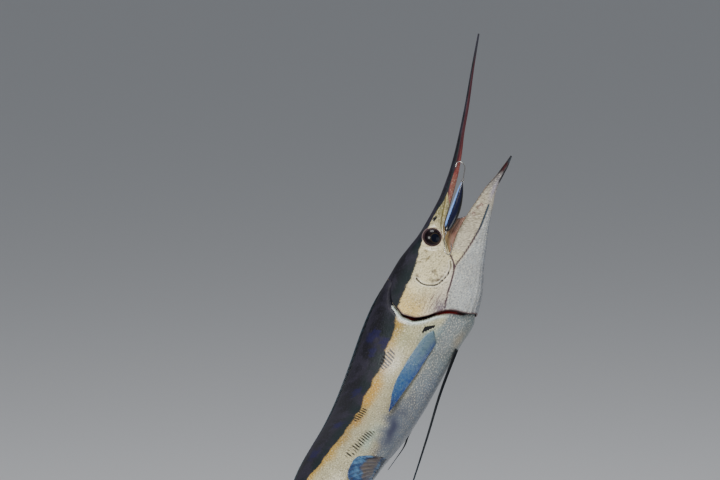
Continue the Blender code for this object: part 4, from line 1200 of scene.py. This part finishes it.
def dark_back(nodes, place, coarse, fine, grain, below):
    """Near-black back with indigo patches, greenish near its lower edge."""
    green = nodes.times(nodes.step(below, -26.0, -3.0), nodes.step(coarse, 0.66, 0.42), 0.75)
    ragged = nodes.scaled(nodes.noise(place, 110.0, 5.0), 2.4, nodes.attribute("indigo"))
    return nodes.layered(
        nodes.mix(nodes.step(coarse, 0.40, 0.60), rgb(16, 15, 22), rgb(36, 33, 46)),
        (nodes.step(fine, 0.54, 0.66, 0.0, 0.50), rgb(60, 56, 74)),
        (nodes.step(grain, 0.50, 0.66, 0.0, 0.45), rgb(8, 8, 12)),
        (green, rgb(10, 29, 31)),
        (nodes.step(ragged, 1.45, 2.15, 0.0, 0.75), rgb(20, 17, 62)))


def head_lines(nodes, colour, place, arc, fold, maxilla):
    """Dark lines of the cheek's edge, throat's fold and upper jaw, eye and nostril rims, and painted
    highlight and shadow.
    """
    uneven = nodes.step(nodes.noise(place, 70.0, 2.0), 0.30, 0.50, 0.6, 1.0)
    ridge_highlight = nodes.times(nodes.step(arc, 0.0022, 0.0030), nodes.step(arc, 0.0050, 0.0036), 0.5)
    fold_line_and_shadow = nodes.mix(nodes.attribute("fold_front"), rgb(62, 34, 50), rgb(34, 56, 76))
    socket = nodes.attribute("eye_gap")
    return nodes.layered(
        colour,
        (nodes.times(nodes.step(arc, 0.0023, 0.0008), uneven), rgb(26, 20, 22)),
        # Painted highlight along the cheek's raised edge
        (ridge_highlight, rgb(246, 240, 222)),
        # The throat's and cheek's folds: a purple-brown line, painted as blue-grey shadow towards the front
        (nodes.step(fold, 0.0030, 0.0008, 0.0, 0.95), fold_line_and_shadow),
        (nodes.step(maxilla, 0.0022, 0.0006, 0.0, 0.80), rgb(88, 78, 36)),
        (nodes.step(socket, 0.0030, 0.0012, 0.0, 0.35), rgb(176, 144, 142)),
        (nodes.step(socket, 0.0007, -0.0003), rgb(24, 16, 20)),
        (nodes.step(nodes.attribute("nostril_gap"), 0.0006, -0.0003), rgb(12, 10, 10)))


def skin_material():
    """Wet skin: pale flank, near-black back with a ragged edge, slits, thin lines and scales."""
    nodes = Nodes("fish_skin")
    place = nodes.attribute("place", "Vector")
    coarse = nodes.noise(nodes.stretched(place, (1.0, 1.3, 1.0)), 22.0, 4.0)
    fine = nodes.noise(nodes.stretched(place, (1.0, 1.6, 1.0)), 260.0, 3.0)
    grain = nodes.noise(nodes.stretched(place, (0.30, 1.0, 1.0)), 900.0, 2.0)
    below = nodes.attribute("below_dark")
    ragged = nodes.scaled(fine, 8.0, nodes.scaled(coarse, 13.0, -6.5))
    dark = nodes.step(nodes.math("ADD", below, ragged), 5.0, 2.2)
    pale = pale_skin(nodes, place, coarse, fine, grain)
    colour = nodes.mix(dark, pale, dark_back(nodes, place, coarse, fine, grain, below))

    wave = nodes.math("SINE", nodes.scaled(fine, 1.6, nodes.attribute("hatch_phase")))
    broken = nodes.step(nodes.noise(place, 70.0, 2.0), 0.32, 0.46)
    slit = nodes.times(nodes.step(wave, -0.45, 0.20), broken,
                       nodes.step(nodes.attribute("hatch"), 0.20, 0.60))
    colour = nodes.mix(nodes.times(slit, 0.96), colour, rgb(14, 12, 14))
    arc = nodes.attribute("arc_gap")
    fold = nodes.attribute("fold_gap")
    maxilla = nodes.attribute("maxilla_gap")
    colour = head_lines(nodes, colour, place, arc, fold, maxilla)
    # Painted shade: near-black in the hollow just above the breast fin's root
    colour = nodes.mix(nodes.step(nodes.attribute("axil_shade"), 0.30, 0.55), colour, AXIL_SHADE)

    scales = nodes.cells(nodes.stretched(place, (0.42, 1.0, 1.0)), 330.0)
    height = nodes.scaled(slit, -0.9, nodes.scaled(fine, 0.5, nodes.times(scales, -0.6)))
    scaly = nodes.bump(height, 0.35, 0.0012)
    grooves = nodes.math("MINIMUM", nodes.math("MINIMUM", nodes.times(arc, 1.4), fold), maxilla)
    rough = nodes.step(coarse, 0.3, 0.7, 0.24, 0.40)
    return nodes.set(
        base_color=colour,
        normal=nodes.bump(nodes.step(grooves, 0.0, 0.0022), 0.6, 0.0014, Normal=scaly),
        roughness=nodes.scaled(dark, 0.22, rough),
        specular_ior_level=nodes.scaled(slit, -0.20, nodes.scaled(dark, -0.16, 0.40)),
        coat_weight=nodes.scaled(dark, -0.15, 0.18),
        coat_roughness=0.12)


def eye_material():
    """Black pupil, dark maroon iris with a paler rim, under a glossy surface."""
    nodes = Nodes("eye")
    pupil = nodes.attribute("pupil_gap")
    ball = nodes.attribute("ball_gap")
    spread = nodes.noise(nodes.attribute("fish", "Vector"), 420.0, 4.0)
    ring = nodes.times(nodes.step(pupil, 0.0085, 0.0092), nodes.step(pupil, 0.0108, 0.0098), 0.35)
    colour = nodes.layered(
        nodes.mix(nodes.step(spread, 0.40, 0.66), rgb(10, 6, 9), rgb(30, 18, 23)),
        (nodes.step(ball, 0.0145, 0.0178, 0.0, 0.45), rgb(104, 80, 84)),
        (nodes.step(pupil, 0.0096, 0.0086), rgb(8, 12, 26)),
        (ring, rgb(84, 72, 48)))
    return nodes.set(base_color=colour, specular_ior_level=0.13, roughness=0.20, coat_weight=0.04,
                     coat_roughness=0.10)


def fin_material(name, base, middle, edge, ray_colour, gloss=0.3):
    """Fin membrane and rays by the fin's own coordinates: share of length, across, and ray."""
    nodes = Nodes(name)
    ray = nodes.attribute("ray")
    fish = nodes.attribute("fish", "Vector")
    cloud = nodes.noise(fish, 60.0, 3.0)
    place = nodes.scaled(cloud, 0.30, nodes.math("SUBTRACT", nodes.attribute("share"), 0.15))
    streak = nodes.noise(nodes.stretched(fish, (0.25, 1.0, 1.0)), 500.0, 3.0)
    colour = nodes.layered(
        nodes.mix(nodes.step(place, 0.04, 0.55), base, middle),
        (nodes.step(place, 0.55, 1.0), edge),
        (nodes.step(nodes.attribute("across"), 0.55, 1.0, 0.0, 0.8), edge),
        (nodes.step(streak, 0.47, 0.62, 0.0, 0.55), base),
        (nodes.step(streak, 0.46, 0.34, 0.0, 0.50), edge),
        (nodes.times(nodes.step(ray, 0.55, 0.98), 0.55), ray_colour))
    return nodes.set(
        base_color=colour, normal=nodes.bump(nodes.scaled(streak, 0.35, ray), 0.5, 0.0012),
        roughness=nodes.step(cloud, 0.3, 0.7, 0.48 - 0.8 * gloss, 0.58 - 0.6 * gloss),
        specular_ior_level=0.2 + gloss, coat_weight=gloss, coat_roughness=0.15)


def anal_material():
    """Blue root and lobe with a brown, veined membrane between them."""
    nodes = Nodes("anal_fin_skin")
    ray = nodes.attribute("ray")
    fish = nodes.attribute("fish", "Vector")
    cloud = nodes.noise(fish, 55.0, 4.0)
    spread = nodes.scaled(cloud, 0.4, nodes.math("SUBTRACT", nodes.attribute("share"), 0.2))
    brown = nodes.times(nodes.step(spread, 0.14, 0.28), nodes.step(spread, 0.72, 0.58),
                        nodes.step(nodes.attribute("across"), 0.75, 0.45), 0.9)
    veins = nodes.noise(nodes.stretched(fish, (0.5, 1.0, 1.0)), 300.0, 4.0)
    colour = nodes.layered(
        nodes.mix(nodes.step(cloud, 0.4, 0.65), rgb(34, 62, 104), rgb(78, 122, 160)),
        (nodes.step(spread, 0.20, 0.06), rgb(30, 42, 54)),
        (brown, rgb(104, 92, 80)),
        (nodes.step(veins, 0.55, 0.68, 0.0, 0.6), rgb(60, 50, 46)),
        (nodes.times(nodes.step(ray, 0.55, 0.98), 0.4), rgb(30, 40, 70)))
    return nodes.set(base_color=colour, normal=nodes.bump(nodes.scaled(veins, 0.4, ray), 0.5, 0.0012),
                     roughness=0.30, coat_weight=0.3, coat_roughness=0.15)


def gill_material():
    """Wet red filaments, with painted shade between them and towards the gills' ends."""
    nodes = Nodes("gill_filament")
    cloud = nodes.noise(nodes.attribute("fish", "Vector"), 150.0, 3.0)
    across = nodes.attribute("across")
    # Painted shade towards both ends of the rows of filaments, and between the filaments
    lit = nodes.times(nodes.step(across, 0.36, 0.50), nodes.step(across, 0.84, 0.72))
    red = nodes.mix(nodes.step(cloud, 0.35, 0.65), rgb(70, 10, 12), rgb(150, 30, 28))
    red = nodes.mix(nodes.attribute("ray"), rgb(40, 8, 10), red)
    return nodes.set(base_color=nodes.mix(lit, rgb(22, 9, 9), red), normal=nodes.bump(cloud, 0.4, 0.0008),
                     roughness=0.22, coat_weight=0.4, coat_roughness=0.1)


def lining_material():
    """Moist tan and red lining of the mouth."""
    nodes = Nodes("mouth_lining")
    cloud = nodes.noise(nodes.attribute("fish", "Vector"), 110.0, 4.0)
    across = nodes.attribute("across")
    red = nodes.times(nodes.step(cloud, 0.40, 0.60), nodes.step(across, 0.20, 0.60, 0.15, 0.65))
    colour = nodes.layered(
        nodes.mix(nodes.step(across, 0.25, 0.75), LINING, rgb(158, 124, 108)),
        (red, LINING_RED),
        (nodes.step(nodes.attribute("share"), 0.06, 0.0), rgb(84, 56, 48)))
    return nodes.set(base_color=colour, normal=nodes.bump(cloud, 0.4, 0.0010),
                     roughness=0.30, coat_weight=0.4, coat_roughness=0.12)


def lure_material():
    """Painted minnow: cobalt side, a painted pale reflection along one edge, black along the other, under
    clear gloss.
    """
    nodes = Nodes("lure_paint")
    fish = nodes.attribute("fish", "Vector")
    speck = nodes.noise(fish, 260.0, 3.0)
    spread = nodes.scaled(speck, 0.14, nodes.math("SUBTRACT", nodes.attribute("girth"), 0.07))
    colour = nodes.layered(
        # Pale along one edge: a painted reflection; black along the other edge
        nodes.mix(nodes.step(spread, 0.12, 0.26), rgb(130, 172, 244), rgb(1, 4, 40)),
        (nodes.step(spread, 0.66, 0.84), rgb(6, 8, 14)),
        (nodes.step(nodes.attribute("share"), 0.86, 0.95), rgb(8, 10, 16)),
        (nodes.step(nodes.cells(fish, 900.0), 0.22, 0.05, 0.0, 0.15), rgb(60, 90, 170)))
    return nodes.set(base_color=colour, roughness=nodes.step(speck, 0.3, 0.7, 0.16, 0.26),
                     coat_weight=0.2, coat_roughness=0.10)


def steel_material(name, colour, roughness):
    """Brushed steel with faint clouds."""
    nodes = Nodes(name)
    place = nodes.node("ShaderNodeTexCoord").outputs["Object"]
    brushed = nodes.noise(nodes.stretched(place, (1.0, 1.0, 0.05)), 900.0, 2.0)
    cloud = nodes.noise(place, 30.0, 3.0)
    return nodes.set(base_color=nodes.mix(nodes.step(cloud, 0.35, 0.7), colour * 0.8, colour),
                     roughness=nodes.step(brushed, 0.3, 0.7, roughness * 0.8, roughness * 1.25),
                     normal=nodes.bump(brushed, 0.08, 0.0004), metallic=1.0)


def board_material():
    """Dark oiled wood, its grain along the board."""
    nodes = Nodes("stand_board")
    place = nodes.node("ShaderNodeTexCoord").outputs["Object"]
    warp = nodes.noise(nodes.stretched(place, (1.0, 0.055, 1.0)), 9.0, 3.0)
    rings = nodes.math("SINE", nodes.times(warp, 95.0))
    pores = nodes.noise(nodes.stretched(place, (1.0, 0.03, 1.0)), 620.0, 2.0)
    colour = nodes.layered(
        nodes.mix(nodes.step(rings, -0.9, 0.9), rgb(74, 48, 32), rgb(112, 76, 50)),
        (nodes.step(pores, 0.52, 0.66, 0.0, 0.7), rgb(40, 26, 18)))
    height = nodes.scaled(pores, -0.8, nodes.times(rings, 0.08))
    return nodes.set(base_color=colour, normal=nodes.bump(height, 0.25, 0.0006),
                     roughness=nodes.step(pores, 0.4, 0.7, 0.32, 0.5), coat_weight=0.25, coat_roughness=0.2)


def build_eyes(material):
    """Flattened eyeballs that stand in their sockets."""
    depth = np.linspace(0.0, math.pi, 34)[:, None]
    turn = np.linspace(0.0, 2.0 * math.pi, 64, endpoint=False)[None, :]
    x = EYE_X + EYE_RADIUS * np.sin(depth) * np.cos(turn)
    z = EYE_Z + EYE_RADIUS * np.sin(depth) * np.sin(turn)
    inner_half = 0.05 * (np.cos(depth) < 0.0)
    for side, name in SIDES:
        y = side * (EYE_OUT + EYE_DEPTH * np.cos(depth)) + 0.0 * turn
        fish = np.stack((x, y, z), axis=-1)
        eye = make_piece("eyeball_" + name, on_body(fish), grid_faces(*x.shape, True).tolist(), material,
                         pupil_gap=np.hypot(x - PUPIL[0], z - PUPIL[1]) + inner_half,
                         ball_gap=np.hypot(x - EYE_X, z - EYE_Z), fish=fish)
        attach(eye, "root")
        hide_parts("eye_" + name)


def fin_sheet(name, front, back, share, across, ray, fish, material):
    """A closed thin fin from its two faces, given as grids of world points."""
    rows, columns = front.shape[:2]
    total = rows * columns
    index = np.arange(total).reshape(rows, columns)
    quads = grid_faces(rows, columns)
    rim = np.concatenate((index[0, :], index[1:, -1], index[-1, -2::-1], index[-2:0:-1, 0]))
    after = np.roll(rim, -1)
    walls = np.stack((rim, rim + total, after + total, after), axis=-1)
    faces = np.concatenate((quads, quads[:, ::-1] + total, walls)).tolist()
    share, across, ray = (np.broadcast_to(values, (2, rows, columns)) for values in (share, across, ray))
    return make_piece(name, (front, back), faces, material, 1e-6, share=share, across=across, ray=ray,
                      fish=np.broadcast_to(fish, (2, rows, columns, 3)))


def laid_fin(name, x, degrees, bed, thick, share, across, ray, material):
    """A fin that lies on the flank, from stations, angles and heights."""
    outer = flank(x, degrees, bed + thick)
    inner = flank(x, degrees, bed)
    return fin_sheet(name, on_body(outer), on_body(inner), share, across, ray, outer, material)


def upright_fin(name, x, z, half, share, across, ray, material):
    """A fin in the middle plane, from stations, heights and half thicknesses."""
    right, left = (body_points(x, side * half, z) for side, _ in SIDES)
    fish = np.stack((x, np.zeros(x.shape), z), axis=-1)
    return fin_sheet(name, right, left, share, across, ray, fish, material)


def finish_fin(fin, *nodes):
    """Let a fin ride on the fish in place of its solids."""
    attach(fin, "root")
    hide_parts(*nodes)


def ray_ridge(across, count):
    """1 on a ray's middle line, 0 between rays."""
    return 0.5 + 0.5 * np.cos(2.0 * math.pi * across * count)


def build_pectorals(material):
    """Breast fins, laid back along the flank and lifted towards their tips."""
    share = np.linspace(0.0, 1.0, 90)[:, None]
    across = np.linspace(0.0, 1.0, 97)[None, :]
    lead = line(PECTORAL_LEAD)(share)
    trail = line(PECTORAL_TRAIL)(share)
    degrees = trail + (lead - trail) * across
    x = PECTORAL_START + PECTORAL_LENGTH * share + PECTORAL_SKEW * across * (1.0 - share)
    ray = ray_ridge(across, 18)
    cup = 0.0020 * np.sin(math.pi * across) * np.sin(math.pi * share ** 0.7)
    bed = FIN_GAP + PECTORAL_LIFT * share ** 1.3 - gill_sink(x, degrees) + cup
    thin_edges = 0.35 + 0.65 * np.abs(np.sin(math.pi * across)) ** 0.4
    thick = 0.0012 + 0.0017 * ray * (1.0 - share) ** 0.8 + 0.0022 * (1.0 - share) ** 3
    for side, name in SIDES:
        fin = laid_fin("pectoral_" + name, x, side * degrees, bed, thick * thin_edges, share, across, ray,
                       material)
        finish_fin(fin, "pectoral_fin_" + name)


def build_pelvics(material):
    """The left belly fin lies along the belly, and the right one trails free of it."""
    share = np.linspace(0.0, 1.0, 81)[:, None]
    across = np.linspace(-1.0, 1.0, 17)[None, :]
    width = PELVIC_HALF_WIDTH * (1.0 - share) ** 0.7 + 0.0007
    ray = ray_ridge(0.5 * across + 0.5, 2)
    thick = 0.0010 + 0.0018 * ray * (1.0 - share)

    x = PELVIC_START + PELVIC_LENGTH * share
    _, half, _, _ = section(x)
    degrees = line(PELVIC_TURN)(share) - np.degrees(width / half) * across
    lift = FIN_GAP + PELVIC_LIFT * share ** 1.5
    fin = laid_fin("pelvic_left", x, -degrees, lift, thick, share, 0.3, ray, material)
    finish_fin(fin, "pelvic_fin_left")

    root = on_body(flank(PELVIC_START, PELVIC_ROOT_TURN, FIN_GAP))
    k = round((PELVIC_START - NECK_X) / SPINE_STEP)
    forward, right, dorsal = SPINE[1][k], SPINE[2][k], SPINE[3][k]
    out, flat = turned(-dorsal, right, -math.radians(PELVIC_TILT))
    course = np.array(smooth_points(PELVIC_TRAIL, 20))
    middle = root - forward * course[:, :1] + right * course[:, 1:2] - dorsal * course[:, 2:]
    inner = middle[:, None] + flat * (width * across)[..., None]
    outer = inner + out * thick[..., None]
    fish = np.stack((PELVIC_START + course[:, :1] + 0.0 * across, width * across, thick), axis=-1)
    fin = fin_sheet("pelvic_right", outer, inner, share, 0.3, ray, fish, material)
    finish_fin(fin, "pelvic_fin_right")


def build_anal(material):
    """The first anal fin, folded over to the right."""
    share = np.linspace(0.0, 1.0, 60)[:, None]
    t = np.linspace(0.0, 1.0, 109)[None, :]
    root_x = ANAL_START + ANAL_BASE * t
    x = root_x + (line(ANAL_EDGE_X)(t) - root_x) * share ** 1.2
    degrees = ANAL_ROOT_ANGLE - (ANAL_ROOT_ANGLE - line(ANAL_EDGE_ANGLE)(t)) * share ** 0.85
    ray = ray_ridge(t, 13)
    thick = 0.0010 + 0.0020 * ray * (1.0 - 0.7 * share)
    fin = laid_fin("anal_lobe", x, degrees, FIN_GAP + ANAL_LIFT * share, thick, share, t, ray, material)
    finish_fin(fin, "anal_fin_first")


def middle_fin(name, root_x, root_z, tip_x, tip_z, rays, half_thick, material, *nodes):
    """A fin in the middle plane between a root line and a tip line."""
    share = np.linspace(0.0, 1.0, 26)[:, None]
    across = np.linspace(0.0, 1.0, len(root_x))[None, :]
    ray = ray_ridge(across, rays)
    half = half_thick * (0.40 + 0.60 * ray) * (1.0 - 0.75 * share)
    fin = upright_fin(name, root_x + (tip_x - root_x) * share, root_z + (tip_z - root_z) * share, half,
                      share, across, ray, material)
    finish_fin(fin, *nodes)


def build_middle_fins(material):
    """The folded crest of the first dorsal fin, and the small second dorsal and second anal fin."""
    x = np.linspace(CREST[0][0], CREST[-1][0], 541)
    tip_x = x + CREST_LEAN
    middle_fin("dorsal_crest", x, back_line(x) - FIN_ROOT, tip_x, back_line(tip_x) + line(CREST)(x),
               47, CREST_THICK, material, "dorsal_fin_front", "dorsal_fin_middle", "dorsal_fin_rear")
    t = np.linspace(0.0, 1.0, 61)
    height = SECOND_HEIGHT * (1 - t) ** 1.3 + SECOND_REAR_HEIGHT
    for name, start, outline, side, node in (
            ("dorsal_rear", SECOND_DORSAL_X, back_line, 1, "dorsal_fin_second"),
            ("anal_rear", SECOND_ANAL_X, belly_line, -1, "anal_fin_second")):
        x = start + SECOND_BASE * t
        tip_x = start + SECOND_SWEEP + SECOND_EDGE * t
        middle_fin(name, x, outline(x) - side * FIN_ROOT, tip_x, outline(tip_x) + side * height,
                   7, SECOND_THICK, material, node)


def build_tail_fin(material):
    """The two lobes of the tail fin, spread from the end of the trunk."""
    middle, half, _, _ = section(TAIL_ROOT)
    share = np.linspace(0.0, 1.0, 60)[:, None]
    t = np.linspace(0.0, 1.0, 97)[None, :]
    root_x = TAIL_ROOT + FIN_GAP
    x = root_x + (FORK_X + LOBE_BACK * (1 - t) ** 1.25 - root_x) * share
    root_z = half * (1.0 - t)
    rise = root_z + (LOBE_REACH * (1 - t) ** 1.1 - root_z) * share ** (1.0 + 0.45 * (1.0 - t))
    ray = ray_ridge(t, 12)
    thick = TAIL_FIN_THICK * (1.0 - 0.55 * t * share) * (0.40 + 0.60 * ray) * (1.0 - 0.70 * share)
    for side, name in ((1, "upper"), (-1, "lower")):
        z = middle + side * (0.0001 + rise)
        fin = upright_fin("tail_" + name, x, z, thick, share, 1.0 - t, ray, material)
        finish_fin(fin, "tail_fin_" + name)


def build_webs(material):
    """The skin stretched between the jaws just ahead of each corner of the mouth."""
    share = np.linspace(0.0, 1.0, 30)[:, None]
    across = np.linspace(0.0, 1.0, 25)[None, :]
    back = MOUTH_BACK - 0.002
    upper_x = WEB_UPPER + (back - WEB_UPPER) * share
    lower_x = WEB_LOWER + (back - WEB_LOWER) * share
    upper_y = flank(upper_x, cut_angle(upper_x))[..., 1] - 0.0030
    lower_y = jaw_width(lower_x) - 0.5 * JAW_WALL
    bow = WEB_BOW * (1.0 - share) * np.sin(math.pi * across)
    fold = 0.0006 * np.sin(across * 40.0 + 14.0 * share)
    x = upper_x + (lower_x - upper_x) * across + bow
    y = upper_y + (lower_y - upper_y) * across - 0.4 * bow + fold
    upper_z = cut_line(upper_x) + WEB_GAP
    z = upper_z + (jaw_rim(lower_x) - WEB_GAP - upper_z) * across
    for side, name in SIDES:
        front = body_points(x, side * (y + 0.5 * WEB_THICK), z)
        behind = body_points(x, side * (y - 0.5 * WEB_THICK), z)
        fish = np.stack((x, side * y, z), axis=-1)
        web = fin_sheet("mouth_web_skin_" + name, front, behind, share, across, 0.0, fish, material)
        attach(web, "root")
        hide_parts("mouth_web_" + name)


def build_gills(material):
    """Rows of filaments on the sunk flank inside the gill slits."""
    across = np.linspace(0.0, 1.0, 241)[None, :]
    degrees = GILL_TURNS[0] + (GILL_TURNS[1] - GILL_TURNS[0]) * across
    last = np.minimum(GILL_BACK, edge_station(degrees) + 0.002)
    share = np.linspace(0.0, 1.0, 14)[:, None]
    x = GILL_FRONT + (last - GILL_FRONT) * share
    ray = ray_ridge(across, 60)
    bed = 0.0004 - gill_sink(x, degrees)
    thick = 0.0010 + 0.0018 * ray * np.sin(math.pi * (0.15 + 0.7 * share))
    for side, name in SIDES:
        gill = laid_fin("filaments_" + name, x, side * degrees, bed, thick, share, across, ray, material)
        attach(gill, "root")
        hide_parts("gills_" + name)


def tube(path, radius, taper=None, around=10):
    """Points and faces of a round wire along fish-coordinate points, closed at both ends."""
    world = on_body(np.array(path))
    tangent = np.gradient(world, axis=0)
    tangent /= np.linalg.norm(tangent, axis=1)[:, None]
    side = np.cross(tangent[0], (0.3, 0.9, 0.2))
    turns = np.linspace(0.0, 2.0 * math.pi, around, endpoint=False)
    points = []
    for k, middle in enumerate(world):
        side = side - tangent[k] * np.dot(side, tangent[k])
        side /= np.linalg.norm(side)
        other = np.cross(tangent[k], side)
        size = radius * (taper[k] if taper is not None else 1.0)
        points += [middle + size * (side * math.cos(a) + other * math.sin(a)) for a in turns]
    faces = grid_faces(len(world), around, True).tolist()
    return points, faces + [list(range(around)), list(range(len(points) - around, len(points)))]


def build_wires(name, tubes, node, material):
    """Several tubes as one piece of bent wire."""
    points = []
    faces = []
    for path, radius, taper in tubes:
        more, shapes = tube(path, radius, taper)
        faces += [[i + len(points) for i in face] for face in shapes]
        points += more
    wire = make_piece(name, points, faces, material, 1e-7)
    wire.data.set_sharp_from_angle(angle=math.radians(50))
    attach(wire, "root")
    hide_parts(node)


def ring_tube(centre, radius, first, second):
    """A closed wire ring in the plane of two directions."""
    path = [centre + radius * (first * math.cos(a) + second * math.sin(a))
            for a in np.linspace(0.0, 2.0 * math.pi, 25)]
    return path, RING_WIRE, None


def hook_tubes(course):
    """A single hook's wire, tapered to its point, with a small barb."""
    path = smooth_points(course, 8)
    taper = np.ones(len(path))
    taper[-7:] = np.linspace(1.0, 0.12, 7)
    inward = np.array(course[3]) - path[-1]
    barb = [path[-6], path[-12] + inward * BARB_OUT / np.linalg.norm(inward)]
    return [(path, HOOK_WIRE, taper), (barb, RING_WIRE, [0.9, 0.1])]


def build_lure(paint, steel):
    """A painted minnow, flat at its sides and bowed along its length, with rings and a hook at each end."""
    axis = LURE_REAR - LURE_FRONT
    length = np.linalg.norm(axis)
    axis = axis / length
    side = np.cross(axis, (0.0, 0.0, 1.0))
    side /= np.linalg.norm(side)
    top = np.cross(side, axis)
    rows = np.concatenate((np.linspace(0.002, 0.06, 9), np.linspace(0.06, 0.94, 50)[1:-1],
                           np.linspace(0.94, 0.998, 9)))[:, None]
    angle = np.linspace(0.0, 2.0 * math.pi, 40, endpoint=False)[None, :]
    radius = LURE_RADIUS * np.sin(math.pi * rows ** LURE_SKEW) ** LURE_BLUNTNESS
    sag = LURE_SAG * np.sin(math.pi * rows)
    fish = (LURE_FRONT + axis * length * rows[..., None]
            + side * (LURE_FLATNESS * radius * np.sin(angle))[..., None]
            + top * (radius * np.cos(angle) - sag)[..., None])
    count, around = fish.shape[:2]
    faces = grid_faces(count, around, True).tolist()
    faces += [list(range(around)), list(range((count - 1) * around, count * around))]
    minnow = make_piece("minnow", on_body(fish), faces, paint, 1e-7, fish=fish,
                        girth=np.broadcast_to(0.5 - 0.5 * np.cos(angle), (count, around)),
                        share=np.broadcast_to(rows, (count, around)))
    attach(minnow, "root")
    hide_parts("lure_body")

    for name, end, outward, course in (("front", LURE_FRONT, -axis, HOOK_FRONT),
                                       ("rear", LURE_REAR, axis, HOOK_REAR)):
        rings = [ring_tube(end + outward * 0.0014, 0.0022, axis, top),
                 ring_tube(end + outward * 0.0040, 0.0028, axis, side)]
        build_wires("hook_" + name, rings + hook_tubes(course), "lure_hook_" + name, steel)


def build_stand(frame, board, steel):
    """Finishes of the board and rods, and a turned collar at the foot of each rod."""
    for name, material in (("stand_base", board), ("stand_rod_front", steel), ("stand_rod_rear", steel)):
        for slot in frame["nodes"][name].material_slots:
            slot.material = material
    turn = np.linspace(0.0, 2.0 * math.pi, 64, endpoint=False)
    radius, height = np.array(COLLAR_PROFILE + COLLAR_PROFILE[:1]).T[..., None]
    for name in ("front", "rear"):
        low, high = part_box("stand_rod_" + name)
        points = np.stack((0.5 * (low[0] + high[0]) + radius * np.cos(turn),
                           0.5 * (low[1] + high[1]) + radius * np.sin(turn),
                           low[2] + height + 0.0 * turn), axis=-1)
        faces = grid_faces(len(radius), len(turn), True).tolist()
        collar = make_piece("stand_collar_" + name, points, faces, steel, 1e-7)
        collar.data.set_sharp_from_angle(angle=math.radians(40))
        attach(collar, "root")


def build_floor():
    """A plain pale floor at the stand's foot."""
    mesh = bpy.data.meshes.new("floor")
    corners = [(FLOOR_REACH * a, FLOOR_REACH * b, 0.0) for a, b in ((-1, -1), (1, -1), (1, 1), (-1, 1))]
    mesh.from_pydata(corners, [], [(0, 1, 2, 3)])
    mesh.materials.append(Nodes("floor").set(base_color=(*rgb(206, 207, 210), 1.0), roughness=0.8))
    floor = bpy.data.objects.new("floor", mesh)
    bpy.context.scene.collection.objects.link(floor)


def place_lights():
    """A pale room and three soft lamps, all aimed at the head."""
    world = bpy.data.worlds.new("studio")
    world.use_nodes = True
    world.node_tree.nodes["Background"].inputs["Color"].default_value = ROOM_COLOUR
    world.node_tree.nodes["Background"].inputs["Strength"].default_value = ROOM_STRENGTH
    bpy.context.scene.world = world
    for name, place, size, power, colour in LAMPS:
        light = bpy.data.lights.new(name, "AREA")
        light.shape = "DISK"
        light.size = size
        light.energy = power
        light.color = colour
        lamp = bpy.data.objects.new(name, light)
        lamp.location = place
        lamp.rotation_euler = (Vector(MARK_PLACE) - Vector(place)).to_track_quat("-Z", "Y").to_euler()
        bpy.context.scene.collection.objects.link(lamp)


def place_camera():
    """The photo's view, with the mark on the cheek at its own place in the picture."""
    across, into, up = view_axes()
    lens = bpy.data.cameras.new("camera")
    lens.sensor_width = SENSOR
    lens.lens = SENSOR * VIEW_DISTANCE / (PICTURE_WIDTH * METRES_PER_PIXEL)
    lens.clip_end = 300.0
    camera = bpy.data.objects.new("camera", lens)
    bpy.context.scene.collection.objects.link(camera)
    camera.location = MARK_PLACE + across * VIEW_SHIFT[0] + up * VIEW_SHIFT[1] - into * VIEW_DISTANCE
    camera.rotation_euler = (math.radians(90.0 - VIEW_DOWN), 0.0, 0.0)
    bpy.context.scene.camera = camera


def main():
    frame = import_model()
    place_camera()
    place_lights()
    build_floor()
    build_skin(skin_material())
    build_eyes(eye_material())
    build_pectorals(fin_material("pectoral_skin", rgb(136, 164, 174), rgb(66, 118, 170), rgb(20, 62, 150),
                                 rgb(22, 40, 84)))
    dark_fin = fin_material("fin_membrane", rgb(14, 18, 24), rgb(16, 28, 38), rgb(24, 52, 66),
                            rgb(10, 12, 18), 0.05)
    build_pelvics(dark_fin)
    build_anal(anal_material())
    build_middle_fins(dark_fin)
    build_tail_fin(fin_material("tail_skin", rgb(52, 56, 64), rgb(40, 46, 60), rgb(26, 32, 48),
                                rgb(16, 18, 24)))
    build_gills(gill_material())
    build_webs(lining_material())
    build_lure(lure_material(), steel_material("hook_steel", rgb(176, 174, 170), 0.22))
    build_stand(frame, board_material(), steel_material("stand_steel", rgb(188, 188, 190), 0.30))


main()
